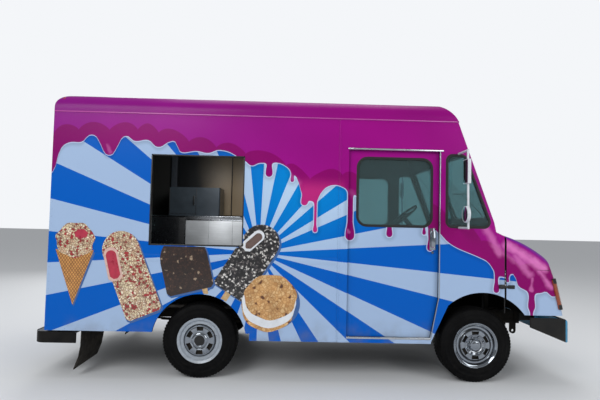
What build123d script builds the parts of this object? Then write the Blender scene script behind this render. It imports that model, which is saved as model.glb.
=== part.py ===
from build123d import *
from math import asin, atan, degrees, hypot
import os

os.makedirs("parts", exist_ok=True)

# Driving dimensions in millimetres
# +X is the front of the truck, +Y its left side, +Z up, with the floor at z = 0
front_axle_x = 1690
rear_axle_x = -1035
axle_z = 366
half_width = 1090
wall = 25
inner_half = half_width - wall
rear_x = -2513
seam_x = 305
drip_z = 2580
roof_z = 2806
skirt_rear_z = 455
skirt_mid_z = 387
bumper_x = 2628
bumper_top = 654

# Wheel arches
rear_arch_r = 460
front_arch = (1739, 381)
front_arch_r = 513
arch_line = ((1038, 0), (1505, 1000))
wheelhouse_in = 700
front_wheelhouse_r = 525
front_wheelhouse_in = 585

# Windscreen line, from the roof lip down to the scuttle and the hood seam
lip_x = 1482
pillar_foot_x, pillar_foot_z = 1848, 1585
scuttle_x, scuttle_z = 1868, 1492
scuttle_crown = 30
hood_seam_x = 1952
hood_seam_z = 1453

# Service window in the right-hand side
window_x = (-1550, -634)
window_z = (1290, 2182)

# Sliding cab doors, which run inside the body side
door_x = (394, 1300)
door_z = (445, 2275)
door_knee = (1293, 815)
door_toe_x = 1217
door_outer = 1055
door_thick = 28
door_lap = 12
door_glass_x = (488, 1230)
door_glass_z = (1529, 2202)
glass_corner_r = 95
glass_thick = 5

# Chassis
rail_outer = 450
rail_width = 60
rail_z = (480, 620)
rail_x = (-2300, 2400)
rail_web = 8
floor_z = 700
floor_thick = 30
step_z = 452

# Engine cover inside the cab
cover_back_x = 1400
cover_half = 300
cover_top = 1060

# Wheels
tyre_r = axle_z
tyre_half = 112
rim_r = 220
wheel_y = 925
spindle_r = 22
spindle_in = 72
bead_r = 206
slot_r = 114
running_gap = 0.05

# Steering
kingpin_y = 780
kingpin_r = 18
steer_arm = 170
tie_rod_z = 280
stud_r = 10

SIDES = (("right", -1), ("left", 1))


def keep(piece, name):
    piece.part.label = name
    export_step(piece.part, f"parts/{name}.step")


def side_plane(sign, outer, thick):
    """Plane of a side sheet: a sketch on it extrudes by thick towards -Y."""
    return Plane.XZ.offset(outer - thick if sign < 0 else -outer)


# Cargo sides: one sheet from the rear corner to the cab seam
for side, sign in SIDES:
    with BuildPart() as cargo_side:
        with BuildSketch(side_plane(sign, half_width, wall)):
            with BuildLine():
                Polyline(
                    (rear_x, skirt_rear_z),
                    (seam_x - 2, skirt_rear_z),
                    (seam_x - 2, drip_z),
                    (rear_x, drip_z),
                    close=True,
                )
            make_face()
            with Locations(((-547 + seam_x - 2) / 2, (skirt_mid_z + skirt_rear_z) / 2)):
                Rectangle(547 + seam_x - 2, skirt_rear_z - skirt_mid_z)
            with Locations((rear_axle_x, axle_z)):
                Circle(rear_arch_r, mode=Mode.SUBTRACT)
            if side == "right":
                with Locations((sum(window_x) / 2, sum(window_z) / 2)):
                    Rectangle(
                        window_x[1] - window_x[0],
                        window_z[1] - window_z[0],
                        mode=Mode.SUBTRACT,
                    )
        extrude(amount=wall)
    keep(cargo_side, f"cargo_side_{side}")

# Cab sides: door opening, quarter window and the rear half of the front arch
for side, sign in SIDES:
    with BuildPart() as cab_side:
        with BuildSketch(side_plane(sign, half_width, wall)):
            with BuildLine():
                Polyline(
                    (seam_x + 2, skirt_mid_z),
                    (hood_seam_x, skirt_mid_z),
                    (hood_seam_x, hood_seam_z),
                    (scuttle_x, scuttle_z),
                    (pillar_foot_x, pillar_foot_z),
                    (lip_x, drip_z),
                    (seam_x + 2, drip_z),
                    close=True,
                )
            make_face()
            with BuildLine():
                Polyline(
                    (door_x[0], door_z[0]),
                    (door_toe_x, door_z[0]),
                    door_knee,
                    (door_x[1], door_z[1]),
                    (door_x[0], door_z[1]),
                    close=True,
                )
            make_face(mode=Mode.SUBTRACT)
        extrude(amount=wall)
        # Wheel arch: a circle whose rear foot is cut off along a straight line
        with BuildSketch(side_plane(sign, half_width, wall)):
            with Locations(front_arch):
                Circle(front_arch_r)
            with BuildLine():
                Polyline(*arch_line, (2500, 1000), (2500, 0), close=True)
            make_face(mode=Mode.INTERSECT)
        extrude(amount=wall, mode=Mode.SUBTRACT)
        with BuildSketch(side_plane(sign, half_width, wall)) as quarter:
            with BuildLine():
                Polyline(
                    (1372, 1535),
                    (1825, 1535),
                    (1551, 2246),
                    (1372, 2246),
                    close=True,
                )
            make_face()
            fillet(quarter.vertices(), 55)
        extrude(amount=wall, mode=Mode.SUBTRACT)
    keep(cab_side, f"cab_side_{side}")

# Roof: the crowned section cut to the side profile, which falls away to a rounded rear
# corner and to the brow over the windscreen, and is hollow underneath
roof_top = roof_z + 10
level_x = -1700
rear_corner_x, rear_corner_z, rear_corner_r, rear_fall = rear_x + 125, 2632, 125, 4.9
brow_start_x, brow_sweep_r = 1095, 450
shells = []
# columns: inset from the outer skin, reach below the drip line
for inset, drop in ((0, 0), (wall, 1)):
    with BuildPart() as roof_form:
        with BuildSketch(Plane.YZ.offset(rear_x - 20)) as section:
            with BuildLine():
                Polyline(
                    (-half_width + inset, drip_z - drop),
                    (-half_width + inset, roof_z - 45 - inset),
                    (0, roof_z - inset),
                    (half_width - inset, roof_z - 45 - inset),
                    (half_width - inset, drip_z - drop),
                    close=True,
                )
            make_face()
            shoulders = section.vertices().sort_by(Axis.Y)[2:4]
            fillet(shoulders, 155 - inset)
        extrude(amount=4200)
        with BuildSketch(Plane.XZ.offset(-half_width)):
            with BuildLine():
                corner = CenterArc(
                    (rear_corner_x, rear_corner_z), rear_corner_r - inset, 180, rear_fall - 90
                )
                brow_centre_z = roof_top - brow_sweep_r
                brow_end = degrees(asin((drip_z - drop - brow_centre_z) / (brow_sweep_r - inset)))
                brow = CenterArc(
                    (brow_start_x, brow_centre_z), brow_sweep_r - inset, 90, brow_end - 90
                )
                Polyline(corner @ 1, (level_x, roof_top - inset), brow @ 0)
                Polyline(brow @ 1, (rear_x + inset, drip_z - drop), corner @ 0)
            make_face()
        extrude(amount=2 * half_width, mode=Mode.INTERSECT)
    shells.append(roof_form.part)
with BuildPart() as roof:
    add(shells[0])
    add(shells[1], mode=Mode.SUBTRACT)
keep(roof, "roof")

# Rear frame: the end wall around the doorway, with the hinge barrels of the doors
doorway_half = 762
doorway_z = (560, 2360)
hinge_x = rear_x - 24
barrel_r = 9
hinge_heights = (760, 1460, 2160)
with BuildPart() as rear_frame:
    with BuildSketch(Plane.YZ.offset(rear_x)):
        with BuildLine():
            Polyline(
                (-inner_half, skirt_rear_z),
                (inner_half, skirt_rear_z),
                (inner_half, drip_z),
                (-inner_half, drip_z),
                close=True,
            )
        make_face()
        with Locations((0, sum(doorway_z) / 2)):
            Rectangle(
                2 * doorway_half, doorway_z[1] - doorway_z[0], mode=Mode.SUBTRACT
            )
    extrude(amount=wall)
    for side, sign in SIDES:
        for height in hinge_heights:
            with BuildSketch(Plane.XY.offset(height - 60)):
                with Locations((hinge_x, sign * (doorway_half + 2))):
                    Circle(barrel_r)
                with Locations((hinge_x + 14, sign * (doorway_half + 9))):
                    Rectangle(22, 6)
            extrude(amount=50)
keep(rear_frame, "rear_frame")

# Front panel: firewall, scuttle and windscreen frame in one bent sheet
scuttle_run = (scuttle_x - hood_seam_x, scuttle_z - hood_seam_z)
with BuildPart() as front_panel:
    with BuildSketch(Plane.XZ.offset(-inner_half)):
        with BuildLine():
            Polyline(
                (hood_seam_x - 30, 640),
                (hood_seam_x, 640),
                (hood_seam_x, hood_seam_z),
                (scuttle_x, scuttle_z),
                (pillar_foot_x, pillar_foot_z),
                (lip_x, drip_z),
                (lip_x - 30, drip_z),
                (pillar_foot_x - 30, pillar_foot_z),
                (scuttle_x - 30, scuttle_z - 20),
                (hood_seam_x - 30, hood_seam_z - 20),
                close=True,
            )
        make_face()
    extrude(amount=2 * inner_half)
    # Crowned scuttle over the full width, sloping down to the hood
    with BuildSketch(Plane.YZ.offset(hood_seam_x)):
        with BuildLine():
            over = ThreePointArc(
                (-inner_half, hood_seam_z),
                (0, hood_seam_z + scuttle_crown),
                (inner_half, hood_seam_z),
            )
            under = ThreePointArc(
                (-inner_half, hood_seam_z - 15),
                (0, hood_seam_z - 2),
                (inner_half, hood_seam_z - 15),
            )
            Line(over @ 0, under @ 0)
            Line(over @ 1, under @ 1)
        make_face()
    extrude(amount=hypot(*scuttle_run), dir=(scuttle_run[0], 0, scuttle_run[1]))
    with BuildSketch(Plane.YZ.offset(1200)) as panes:
        for sign in (-1, 1):
            with Locations((sign * 515, 1945)):
                RectangleRounded(940, 640, 60)
    extrude(amount=800, mode=Mode.SUBTRACT)
    # Openings for the wheels and for the engine under its cover
    for side, sign in SIDES:
        reach = inner_half + 5 - front_wheelhouse_in
        with BuildSketch(side_plane(sign, inner_half + 5, reach)):
            with Locations(front_arch):
                Circle(front_wheelhouse_r)
        extrude(amount=reach, mode=Mode.SUBTRACT)
    with Locations((hood_seam_x, 0, cover_top - 12 - 300)):
        Box(100, 2 * cover_half - 24, 600, mode=Mode.SUBTRACT)
keep(front_panel, "front_panel")

# Cab glass: two windscreen panes and two quarter panes set in their frames
with BuildPart() as cab_glass:
    with BuildSketch(Plane.XZ.offset(-980)):
        with BuildLine():
            lean = (lip_x - pillar_foot_x) / (drip_z - pillar_foot_z)
            low, high = 1600, 2290
            low_x = pillar_foot_x + lean * (low - pillar_foot_z) - 17
            high_x = pillar_foot_x + lean * (high - pillar_foot_z) - 17
            Polyline(
                (low_x, low),
                (low_x + glass_thick, low),
                (high_x + glass_thick, high),
                (high_x, high),
                close=True,
            )
        make_face()
    extrude(amount=1960)
    with BuildSketch(Plane.YZ.offset(1200)) as panes:
        for sign in (-1, 1):
            with Locations((sign * 515, 1945)):
                RectangleRounded(939.6, 639.6, 60)
    extrude(amount=800, mode=Mode.INTERSECT)
    for side, sign in SIDES:
        with BuildSketch(side_plane(sign, half_width - 9, glass_thick)) as quarter:
            with BuildLine():
                Polyline(
                    (1372.3, 1535.3),
                    (1824.6, 1535.3),
                    (1550.8, 2245.7),
                    (1372.3, 2245.7),
                    close=True,
                )
            make_face()
            fillet(quarter.vertices(), 55)
        extrude(amount=glass_thick)
keep(cab_glass, "cab_glass")

# Sliding cab doors with their panes
for side, sign in SIDES:
    with BuildPart() as cab_door:
        with BuildSketch(side_plane(sign, door_outer, door_thick)) as outline:
            with BuildLine():
                Polyline(
                    (door_x[0] - door_lap, door_z[0] - 5),
                    (door_toe_x + 8, door_z[0] - 5),
                    (door_knee[0] + door_lap, door_knee[1] - 4),
                    (door_x[1] + door_lap, door_z[1] + door_lap),
                    (door_x[0] - door_lap, door_z[1] + door_lap),
                    close=True,
                )
            make_face()
            with Locations((sum(door_glass_x) / 2, sum(door_glass_z) / 2)):
                RectangleRounded(
                    door_glass_x[1] - door_glass_x[0],
                    door_glass_z[1] - door_glass_z[0],
                    glass_corner_r,
                    mode=Mode.SUBTRACT,
                )
        extrude(amount=door_thick)
        # Pull handle: a bar on two feet, inside the depth of the opening
        handle_y = sign * (door_outer + 22)
        with BuildSketch(Plane.XY.offset(1327)):
            with Locations((1243, handle_y)):
                RectangleRounded(40, 14, 6)
        extrude(amount=167)
        for foot_z in (1345, 1476):
            with Locations((1243, sign * (door_outer + 9), foot_z)):
                Box(24, 20, 22)
    keep(cab_door, f"cab_door_{side}")
    with BuildPart() as door_pane:
        with BuildSketch(side_plane(sign, door_outer - 11, glass_thick)):
            with Locations((sum(door_glass_x) / 2, sum(door_glass_z) / 2)):
                RectangleRounded(
                    door_glass_x[1] - door_glass_x[0] - 0.4,
                    door_glass_z[1] - door_glass_z[0] - 0.4,
                    glass_corner_r,
                )
        extrude(amount=glass_thick)
    keep(door_pane, f"cab_door_{side}_glass")

# Door tracks: bars on the inside of the sides, along which the doors' top edges run
with BuildPart() as door_tracks:
    for side, sign in SIDES:
        track_x = (door_x[0] - 815, door_x[1] + door_lap)
        with Locations((sum(track_x) / 2, sign * (door_outer + inner_half + 1) / 2, door_z[1] + 6)):
            Box(track_x[1] - track_x[0], inner_half - door_outer - 1, 10)
keep(door_tracks, "door_tracks")

# Rear doors with a window each
rear_door_thick = 30
rear_door_face = rear_x - 12
rear_pane_z = 1850
for side, sign in SIDES:
    middle = sign * (doorway_half - 5 + 3) / 2
    with BuildPart() as rear_door:
        with BuildSketch(Plane.YZ.offset(rear_door_face)):
            with Locations((middle, sum(doorway_z) / 2)):
                Rectangle(doorway_half - 8, doorway_z[1] - doorway_z[0] - 10)
            with Locations((middle, rear_pane_z)):
                RectangleRounded(480, 520, 60, mode=Mode.SUBTRACT)
        extrude(amount=rear_door_thick)
        for height in hinge_heights:
            with BuildSketch(Plane.XY.offset(height - 8)):
                with Locations((hinge_x, sign * (doorway_half + 2))):
                    Circle(barrel_r)
                with Locations((hinge_x + 8, sign * (doorway_half - 10))):
                    Rectangle(10, 24)
            extrude(amount=50)
    keep(rear_door, f"rear_door_{side}")
    with BuildPart() as rear_pane:
        with BuildSketch(Plane.YZ.offset(rear_door_face + 12)):
            with Locations((middle, rear_pane_z)):
                RectangleRounded(479.6, 519.6, 60)
        extrude(amount=glass_thick)
    keep(rear_pane, f"rear_door_{side}_glass")

# Floor: cargo deck and cab deck with rear wheelhouses, stopping short of the door path
deck_half = 1012
deck_front_x = hood_seam_x - 30
arch_deck_x = 1286
with BuildPart() as floor:
    with BuildSketch(Plane.XY.offset(floor_z - floor_thick)):
        with BuildLine():
            Polyline(
                (rear_x + wall, -inner_half),
                (-440, -inner_half),
                (-440, -deck_half),
                (door_x[0] - 2, -deck_half),
                (door_x[0] - 2, -760),
                (1150, -760),
                (1150, -deck_half),
                (arch_deck_x, -deck_half),
                (arch_deck_x, -front_wheelhouse_in),
                (deck_front_x, -front_wheelhouse_in),
                (deck_front_x, front_wheelhouse_in),
                (arch_deck_x, front_wheelhouse_in),
                (arch_deck_x, deck_half),
                (1150, deck_half),
                (1150, 760),
                (door_x[0] - 2, 760),
                (door_x[0] - 2, deck_half),
                (-440, deck_half),
                (-440, inner_half),
                (rear_x + wall, inner_half),
                close=True,
            )
        make_face()
    extrude(amount=floor_thick)
    # Rear wheelhouses: arched tubs open to the road
    for side, sign in SIDES:
        with BuildSketch(side_plane(sign, inner_half, inner_half - wheelhouse_in)):
            with Locations((rear_axle_x, axle_z)):
                Circle(rear_arch_r + 25)
            with Locations((rear_axle_x, floor_z - floor_thick - 500)):
                Rectangle(1200, 1000, mode=Mode.SUBTRACT)
        extrude(amount=inner_half - wheelhouse_in)
    for side, sign in SIDES:
        tub = inner_half - wheelhouse_in - 12
        with BuildSketch(side_plane(sign, inner_half, tub)):
            with Locations((rear_axle_x, axle_z)):
                Circle(rear_arch_r)
        extrude(amount=tub, mode=Mode.SUBTRACT)
    # Engine cover, open at the bottom and towards the engine bay
    cover_front_x = hood_seam_x - 30
    cover_x = (cover_back_x + cover_front_x) / 2
    with Locations((cover_x, 0, (floor_z - floor_thick + cover_top) / 2)):
        Box(
            cover_front_x - cover_back_x,
            2 * cover_half,
            cover_top - floor_z + floor_thick,
        )
    with Locations((cover_x + 12, 0, (floor_z - floor_thick + cover_top) / 2 - 12)):
        Box(
            cover_front_x - cover_back_x,
            2 * cover_half - 24,
            cover_top - floor_z + floor_thick,
            mode=Mode.SUBTRACT,
        )
keep(floor, "floor")

# Step wells inside the cab doors: tread, riser and the two end walls
step_in = 760
step_front_x = 1150
for side, sign in SIDES:
    with BuildPart() as step_well:
        with BuildSketch(side_plane(sign, deck_half, deck_half - step_in)):
            with BuildLine():
                Polyline(
                    (door_x[0] - 2, floor_z - floor_thick),
                    (door_x[0] - 2, step_z - 12),
                    (step_front_x, step_z - 12),
                    (step_front_x, floor_z - floor_thick),
                    (step_front_x - 12, floor_z - floor_thick),
                    (step_front_x - 12, step_z),
                    (door_x[0] + 10, step_z),
                    (door_x[0] + 10, floor_z - floor_thick),
                    close=True,
                )
            make_face()
        extrude(amount=deck_half - step_in)
        with BuildSketch(side_plane(sign, step_in, 12)):
            riser_z = (step_z - 12, floor_z - floor_thick)
            with Locations(((door_x[0] - 2 + step_front_x) / 2, sum(riser_z) / 2)):
                Rectangle(step_front_x - door_x[0] + 2, riser_z[1] - riser_z[0])
        extrude(amount=12)
    keep(step_well, f"step_well_{side}")

# Front wheelhouses: arched shells with a cheek towards the engine, clear of the door path
wheelhouse_end_x = hood_seam_x - 30
# columns: outer reach, inner reach, first x, radius of the hollow
arches = (
    (1020, front_wheelhouse_in, 1100, front_wheelhouse_r),
    (inner_half, 1020, 1322, front_wheelhouse_r),
    (front_wheelhouse_in + 12, front_wheelhouse_in, 1100, 0),
)
with BuildPart() as front_wheelhouses:
    for side, sign in SIDES:
        for outer, inner, first_x, hollow_r in arches:
            with BuildSketch(side_plane(sign, outer, outer - inner)):
                with Locations(front_arch):
                    Circle(front_wheelhouse_r + 12)
                    if hollow_r:
                        Circle(hollow_r, mode=Mode.SUBTRACT)
                low_z = 435 if hollow_r else floor_z - floor_thick
                with Locations(((first_x + wheelhouse_end_x) / 2, low_z + 500)):
                    Rectangle(wheelhouse_end_x - first_x, 1000, mode=Mode.INTERSECT)
            extrude(amount=outer - inner)
keep(front_wheelhouses, "front_wheelhouses")

# Ladder frame: two channel rails and their cross-members
hinge_pin = (2530, 700)
hinge_pin_r = 5
cross_x = (-2270, -1600, -500, 300, 900, 2330)
with BuildPart() as ladder_frame:
    for sign in (-1, 1):
        with BuildSketch(Plane.YZ.offset(rail_x[0])):
            with Locations((sign * (rail_outer - rail_width / 2), sum(rail_z) / 2)):
                Rectangle(rail_width, rail_z[1] - rail_z[0])
            with Locations(
                (sign * (rail_outer - rail_width / 2 - rail_web), sum(rail_z) / 2)
            ):
                Rectangle(
                    rail_width,
                    rail_z[1] - rail_z[0] - 2 * rail_web,
                    mode=Mode.SUBTRACT,
                )
        extrude(amount=rail_x[1] - rail_x[0])
    for x in cross_x:
        with Locations((x, 0, 570)):
            Box(50, 2 * (rail_outer - 4), 80)
    # Tow eyes under the front horns
    for sign in (-1, 1):
        with BuildSketch(side_plane(sign, rail_outer, 20)):
            with Locations((2330, 400)):
                Circle(34)
            with Locations((2330, 445)):
                Rectangle(68, 90)
            with Locations((2330, 400)):
                Circle(15, mode=Mode.SUBTRACT)
        extrude(amount=20)
    # Engine mounts between the rails and the block
    for sign in (-1, 1):
        with Locations((1900, sign * 330, 560)):
            Box(60, 120, 40)
    # Hinge arms of the hood with their pins
    for sign in (-1, 1):
        with BuildSketch(side_plane(sign, rail_outer + 8, 8)):
            with BuildLine():
                Polyline(
                    (2340, 500),
                    (2400, 500),
                    (2400, 600),
                    (2480, 690),
                    (hinge_pin[0], hinge_pin[1] - 7),
                    (hinge_pin[0], hinge_pin[1] + 7),
                    (2470, 707),
                    (2340, 618),
                    close=True,
                )
            make_face()
            with Locations(hinge_pin):
                Circle(7)
        extrude(amount=8)
        with BuildSketch(side_plane(sign, rail_outer + 28, 28)):
            with Locations(hinge_pin):
                Circle(hinge_pin_r)
        extrude(amount=28)
keep(ladder_frame, "ladder_frame")

# Body mounts: outriggers from the rails up to the deck
with BuildPart() as body_mounts:
    for x in (-2200, -1600, -500, 300, 1000, 1700):
        for sign in (-1, 1):
            with Locations((x, sign * (rail_outer - 20), (rail_z[1] + floor_z - floor_thick) / 2)):
                Box(70, 40, floor_z - floor_thick - rail_z[1])
keep(body_mounts, "body_mounts")

# Leaf springs: arched packs shackled under the rails
# columns: axle x, half span, seat height of the lowest leaf, rise at the ends
spring_y = 420
leaf = 9
with BuildPart() as leaf_springs:
    for axle_x, span, seat_z, rise in (
        (front_axle_x, 560, 396, 46),
        (rear_axle_x, 640, 416, 22),
    ):
        for sign in (-1, 1):
            for n, share in enumerate((1.0, 0.82, 0.62, 0.42)):
                reach = span * share
                sag = rise * share * share
                base = seat_z + (3 - n) * leaf
                with BuildSketch(side_plane(sign, spring_y + 30, 60)):
                    with BuildLine():
                        low = ThreePointArc(
                            (axle_x - reach, base + sag),
                            (axle_x, base),
                            (axle_x + reach, base + sag),
                        )
                        high = ThreePointArc(
                            (axle_x - reach, base + sag + leaf),
                            (axle_x, base + leaf),
                            (axle_x + reach, base + sag + leaf),
                        )
                        Line(low @ 0, high @ 0)
                        Line(low @ 1, high @ 1)
                    make_face()
                extrude(amount=60)
            for end in (-1, 1):
                with Locations((axle_x + end * (span - 18), sign * spring_y, 470)):
                    Box(36, 60, 20)
keep(leaf_springs, "leaf_springs")

# Front axle: dropped I-beam with kingpin eyes and spring seats
with BuildPart() as front_axle:
    with BuildSketch(Plane.YZ.offset(front_axle_x - 30)):
        with BuildLine():
            Polyline(
                (-kingpin_y, axle_z + 36),
                (-kingpin_y, axle_z - 36),
                (-640, axle_z - 36),
                (-540, axle_z - 80),
                (540, axle_z - 80),
                (640, axle_z - 36),
                (kingpin_y, axle_z - 36),
                (kingpin_y, axle_z + 36),
                (620, axle_z + 36),
                (520, axle_z - 10),
                (-520, axle_z - 10),
                (-620, axle_z + 36),
                close=True,
            )
        make_face()
    extrude(amount=60)
    for sign in (-1, 1):
        with Locations((front_axle_x, sign * kingpin_y, axle_z)):
            Cylinder(36, 72)
            Cylinder(kingpin_r + running_gap, 72, mode=Mode.SUBTRACT)
        with Locations((front_axle_x, sign * spring_y, (axle_z - 12 + 396) / 2)):
            Box(90, 76, 396 - axle_z + 12)
keep(front_axle, "front_axle")

# Rear axle: tubes, differential housing and the propeller shaft
spindle_end = wheel_y + tyre_half - spindle_in
with BuildPart() as rear_axle:
    with BuildSketch(Plane.YZ.offset(rear_axle_x)):
        with BuildLine():
            Polyline(
                (-spindle_end, axle_z),
                (-spindle_end, axle_z + spindle_r),
                (-(wheel_y - 85), axle_z + spindle_r),
                (-(wheel_y - 85), axle_z + 48),
                (-240, axle_z + 48),
                (-130, axle_z + 150),
                (130, axle_z + 150),
                (240, axle_z + 48),
                (wheel_y - 85, axle_z + 48),
                (wheel_y - 85, axle_z + spindle_r),
                (spindle_end, axle_z + spindle_r),
                (spindle_end, axle_z),
                close=True,
            )
        make_face()
    revolve(axis=Axis((rear_axle_x, 0, axle_z), (0, 1, 0)))
    for sign in (-1, 1):
        with Locations((rear_axle_x, sign * spring_y, (axle_z + 416) / 2)):
            Box(90, 76, 416 - axle_z)
    shaft = Vector(1110 - rear_axle_x - 100, 0, 500 - axle_z)
    with BuildSketch(Plane(origin=(rear_axle_x + 100, 0, axle_z), z_dir=shaft)):
        Circle(35)
    extrude(amount=shaft.length - 8)
keep(rear_axle, "rear_axle")

# Engine and gearbox as one plain block at their real place
with BuildPart() as engine_block:
    with Locations((1830, 0, 760)):
        Box(820, 540, 560)
    fillet(engine_block.edges().filter_by(Axis.X), 30)
    with Locations((1270, 0, 560)):
        Box(320, 300, 160)
keep(engine_block, "engine_block")

# Fuel tank on the left, exhaust on the right
with BuildPart() as fuel_tank:
    with Locations((-150, 600, 530)):
        Box(760, 300, 240)
    fillet(fuel_tank.edges().filter_by(Axis.X), 45)
keep(fuel_tank, "fuel_tank")

with BuildPart() as exhaust:
    with BuildLine():
        route = Polyline(
            (1560, -230, 480),
            (1560, -230, 425),
            (1150, -330, 425),
            (700, -570, 425),
            (-300, -570, 425),
            (-600, -505, 620),
            (-1480, -505, 620),
            (-1760, -505, 420),
            (-2150, -505, 420),
        )
    with BuildSketch(Plane(origin=route @ 0, z_dir=route % 0)):
        Circle(30)
    sweep(path=route, transition=Transition.RIGHT)
    with BuildSketch(Plane.YZ.offset(-230)):
        with Locations((-570, 425)):
            Ellipse(100, 70)
    extrude(amount=700)
keep(exhaust, "exhaust")

# Bulkhead between cab and cargo space, with a walk-through opening
with BuildPart() as bulkhead:
    with BuildSketch(Plane.YZ.offset(seam_x - 12)):
        with Locations((0, (floor_z + drip_z) / 2)):
            Rectangle(2 * deck_half, drip_z - floor_z - 4)
        with Locations((-80, 1650)):
            Rectangle(760, 1700, mode=Mode.SUBTRACT)
    extrude(amount=24)
keep(bulkhead, "bulkhead")

# Service counter on the left wall with a stainless cooler on it
counter_y = (350, 1000)
counter_x = (-1990, -560)
counter_z = 1590
with BuildPart() as service_counter:
    with Locations(
        (sum(counter_x) / 2, sum(counter_y) / 2, (counter_z + floor_z) / 2)
    ):
        Box(
            counter_x[1] - counter_x[0],
            counter_y[1] - counter_y[0],
            counter_z - floor_z,
        )
    with Locations((rear_axle_x, (wheelhouse_in + 1100) / 2, floor_z)):
        Box(1010, 1100 - wheelhouse_in + 20, 330, mode=Mode.SUBTRACT)
keep(service_counter, "service_counter")

with BuildPart() as cooler:
    with Locations((-1420, 700, counter_z + 190)):
        Box(660, 440, 380)
    fillet(cooler.edges().filter_by(Axis.Z), 20)
keep(cooler, "countertop_cooler")

# Dashboard and steering column
with BuildPart() as dashboard:
    with BuildSketch(Plane.XZ.offset(-1010)) as board:
        with BuildLine():
            Polyline(
                (1560, 1230),
                (hood_seam_x - 30, 1180),
                (hood_seam_x - 30, 1425),
                (1850, 1452),
                (1600, 1470),
                (1540, 1400),
                close=True,
            )
        make_face()
    extrude(amount=2020)
    column = Plane(origin=(1600, 450, 1300), z_dir=(-335, 0, 390))
    with BuildSketch(column.offset(40)):
        Circle(30)
    extrude(amount=411)
keep(dashboard, "dashboard")

steer_hub = Vector(1600, 450, 1300) + column.z_dir * 452
with BuildPart() as steering_wheel:
    with BuildSketch(Plane(origin=steer_hub, x_dir=(0, 1, 0), z_dir=column.z_dir)):
        Circle(225)
        Circle(199, mode=Mode.SUBTRACT)
        for turn in (90, 210, 330):
            with Locations(Rotation(0, 0, turn)):
                with Locations((105, 0)):
                    Rectangle(200, 28)
        Circle(48)
    extrude(amount=24)
keep(steering_wheel, "steering_wheel")

# Driver's seat: pedestal, cushion and back
with BuildPart() as seat_frame:
    with Locations((800, 450, floor_z + 120)):
        Box(300, 300, 240)
    with Locations((800, 450, floor_z + 250)):
        Box(460, 460, 20)
    with Locations((572, 450, floor_z + 520)):
        Box(20, 400, 560)
keep(seat_frame, "seat_frame")
with BuildPart() as seat_cushion:
    with Locations((830, 450, floor_z + 315)):
        Box(470, 480, 106)
    chamfer(seat_cushion.edges(), 26)
keep(seat_cushion, "seat_cushion")
with BuildPart() as seat_back:
    with Locations((634, 450, floor_z + 600)):
        Box(100, 480, 440)
    chamfer(seat_back.edges(), 26)
keep(seat_back, "seat_back")

# Bumpers
bumper_back_x = 2216
bumper_sheet = 12
bumper_forms = []
for inset in (0, bumper_sheet):
    front = bumper_x - inset
    with BuildPart() as form:
        with BuildSketch(Plane.XY.offset(380)) as plan:
            with Locations(((bumper_back_x - inset + front) / 2, 0)):
                Rectangle(front - bumper_back_x + inset, 2 * (1075 - inset))
            fillet(plan.vertices().group_by(Axis.X)[-1], 90 - inset)
        extrude(amount=400)
        with BuildSketch(Plane.XZ.offset(-1100)) as profile:
            with BuildLine():
                Polyline(
                    (bumper_back_x - inset, 560 - 12 * inset),
                    (bumper_back_x - inset, bumper_top - inset),
                    (front, bumper_top - inset),
                    (front, 418 - 12 * inset),
                    (front - 50, 418 - 12 * inset),
                    close=True,
                )
            make_face()
            fillet(profile.vertices().group_by(Axis.Y)[-1].sort_by(Axis.X)[-1], 100 - inset)
        extrude(amount=2200, mode=Mode.INTERSECT)
    bumper_forms.append(form.part)
with BuildPart() as front_bumper:
    add(bumper_forms[0])
    add(bumper_forms[1], mode=Mode.SUBTRACT)
    with Locations((bumper_back_x + 130, 0, bumper_top)):
        Box(400, 2 * (1075 - bumper_sheet), 60, mode=Mode.SUBTRACT)
    for sign in (-1, 1):
        with Locations(((rail_x[1] + bumper_x - 12) / 2, sign * 420, 560)):
            Box(bumper_x - 12 - rail_x[1], 60, 90)
keep(front_bumper, "front_bumper")

with BuildPart() as rear_bumper:
    with BuildSketch(Plane.XY.offset(333)) as plan:
        with Locations(((-bumper_x - bumper_back_x) / 2, 0)):
            Rectangle(bumper_x - bumper_back_x, 2 * 1075)
        fillet(plan.vertices().group_by(Axis.X)[0], 110)
        with Locations((-2385 + 200, 0)):
            Rectangle(400, 2 * 1060, mode=Mode.SUBTRACT)
    extrude(amount=105)
    for sign in (-1, 1):
        with Locations((-2320, sign * 420, 440)):
            Box(160, 50, 80)
keep(rear_bumper, "rear_bumper")

# Mud flaps on hangers outside the rails, curled to the rear at the foot
with BuildPart() as mud_flaps:
    for side, sign in SIDES:
        with BuildSketch(side_plane(sign, 1045, 590)):
            with BuildLine():
                Polyline(
                    (-2172, 452),
                    (-2180, 452),
                    (-2182, 300),
                    (-2200, 190),
                    (-2242, 75),
                    (-2235, 72),
                    (-2192, 188),
                    (-2174, 300),
                    close=True,
                )
            make_face()
        extrude(amount=590)
        with Locations((-2190, sign * 700, 470)):
            Box(20, 500, 70)
        with Locations((-2176, sign * 455, 500)):
            Box(40, 10, 90)
keep(mud_flaps, "mud_flaps")

# Mirrors: a tube arm, a tall flat head and a round spot mirror below it
with BuildPart() as mirrors:
    for side, sign in SIDES:
        with BuildLine() as arm:
            Polyline(
                (1488, sign * half_width, 2262),
                (1488, sign * 1340, 2262),
                (1495, sign * 1340, 1527),
                (1495, sign * half_width, 1527),
            )
        with BuildSketch(Plane(origin=arm.line @ 0, z_dir=arm.line % 0)):
            Circle(11)
        sweep(path=arm.line, transition=Transition.RIGHT)
        with Locations((1482, sign * 1340, 2060)):
            Box(30, 120, 230)
        with BuildSketch(Plane.YZ.offset(1463)):
            with Locations((sign * 1340, 1655)):
                Circle(78)
        extrude(amount=28)
keep(mirrors, "mirrors")

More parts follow.
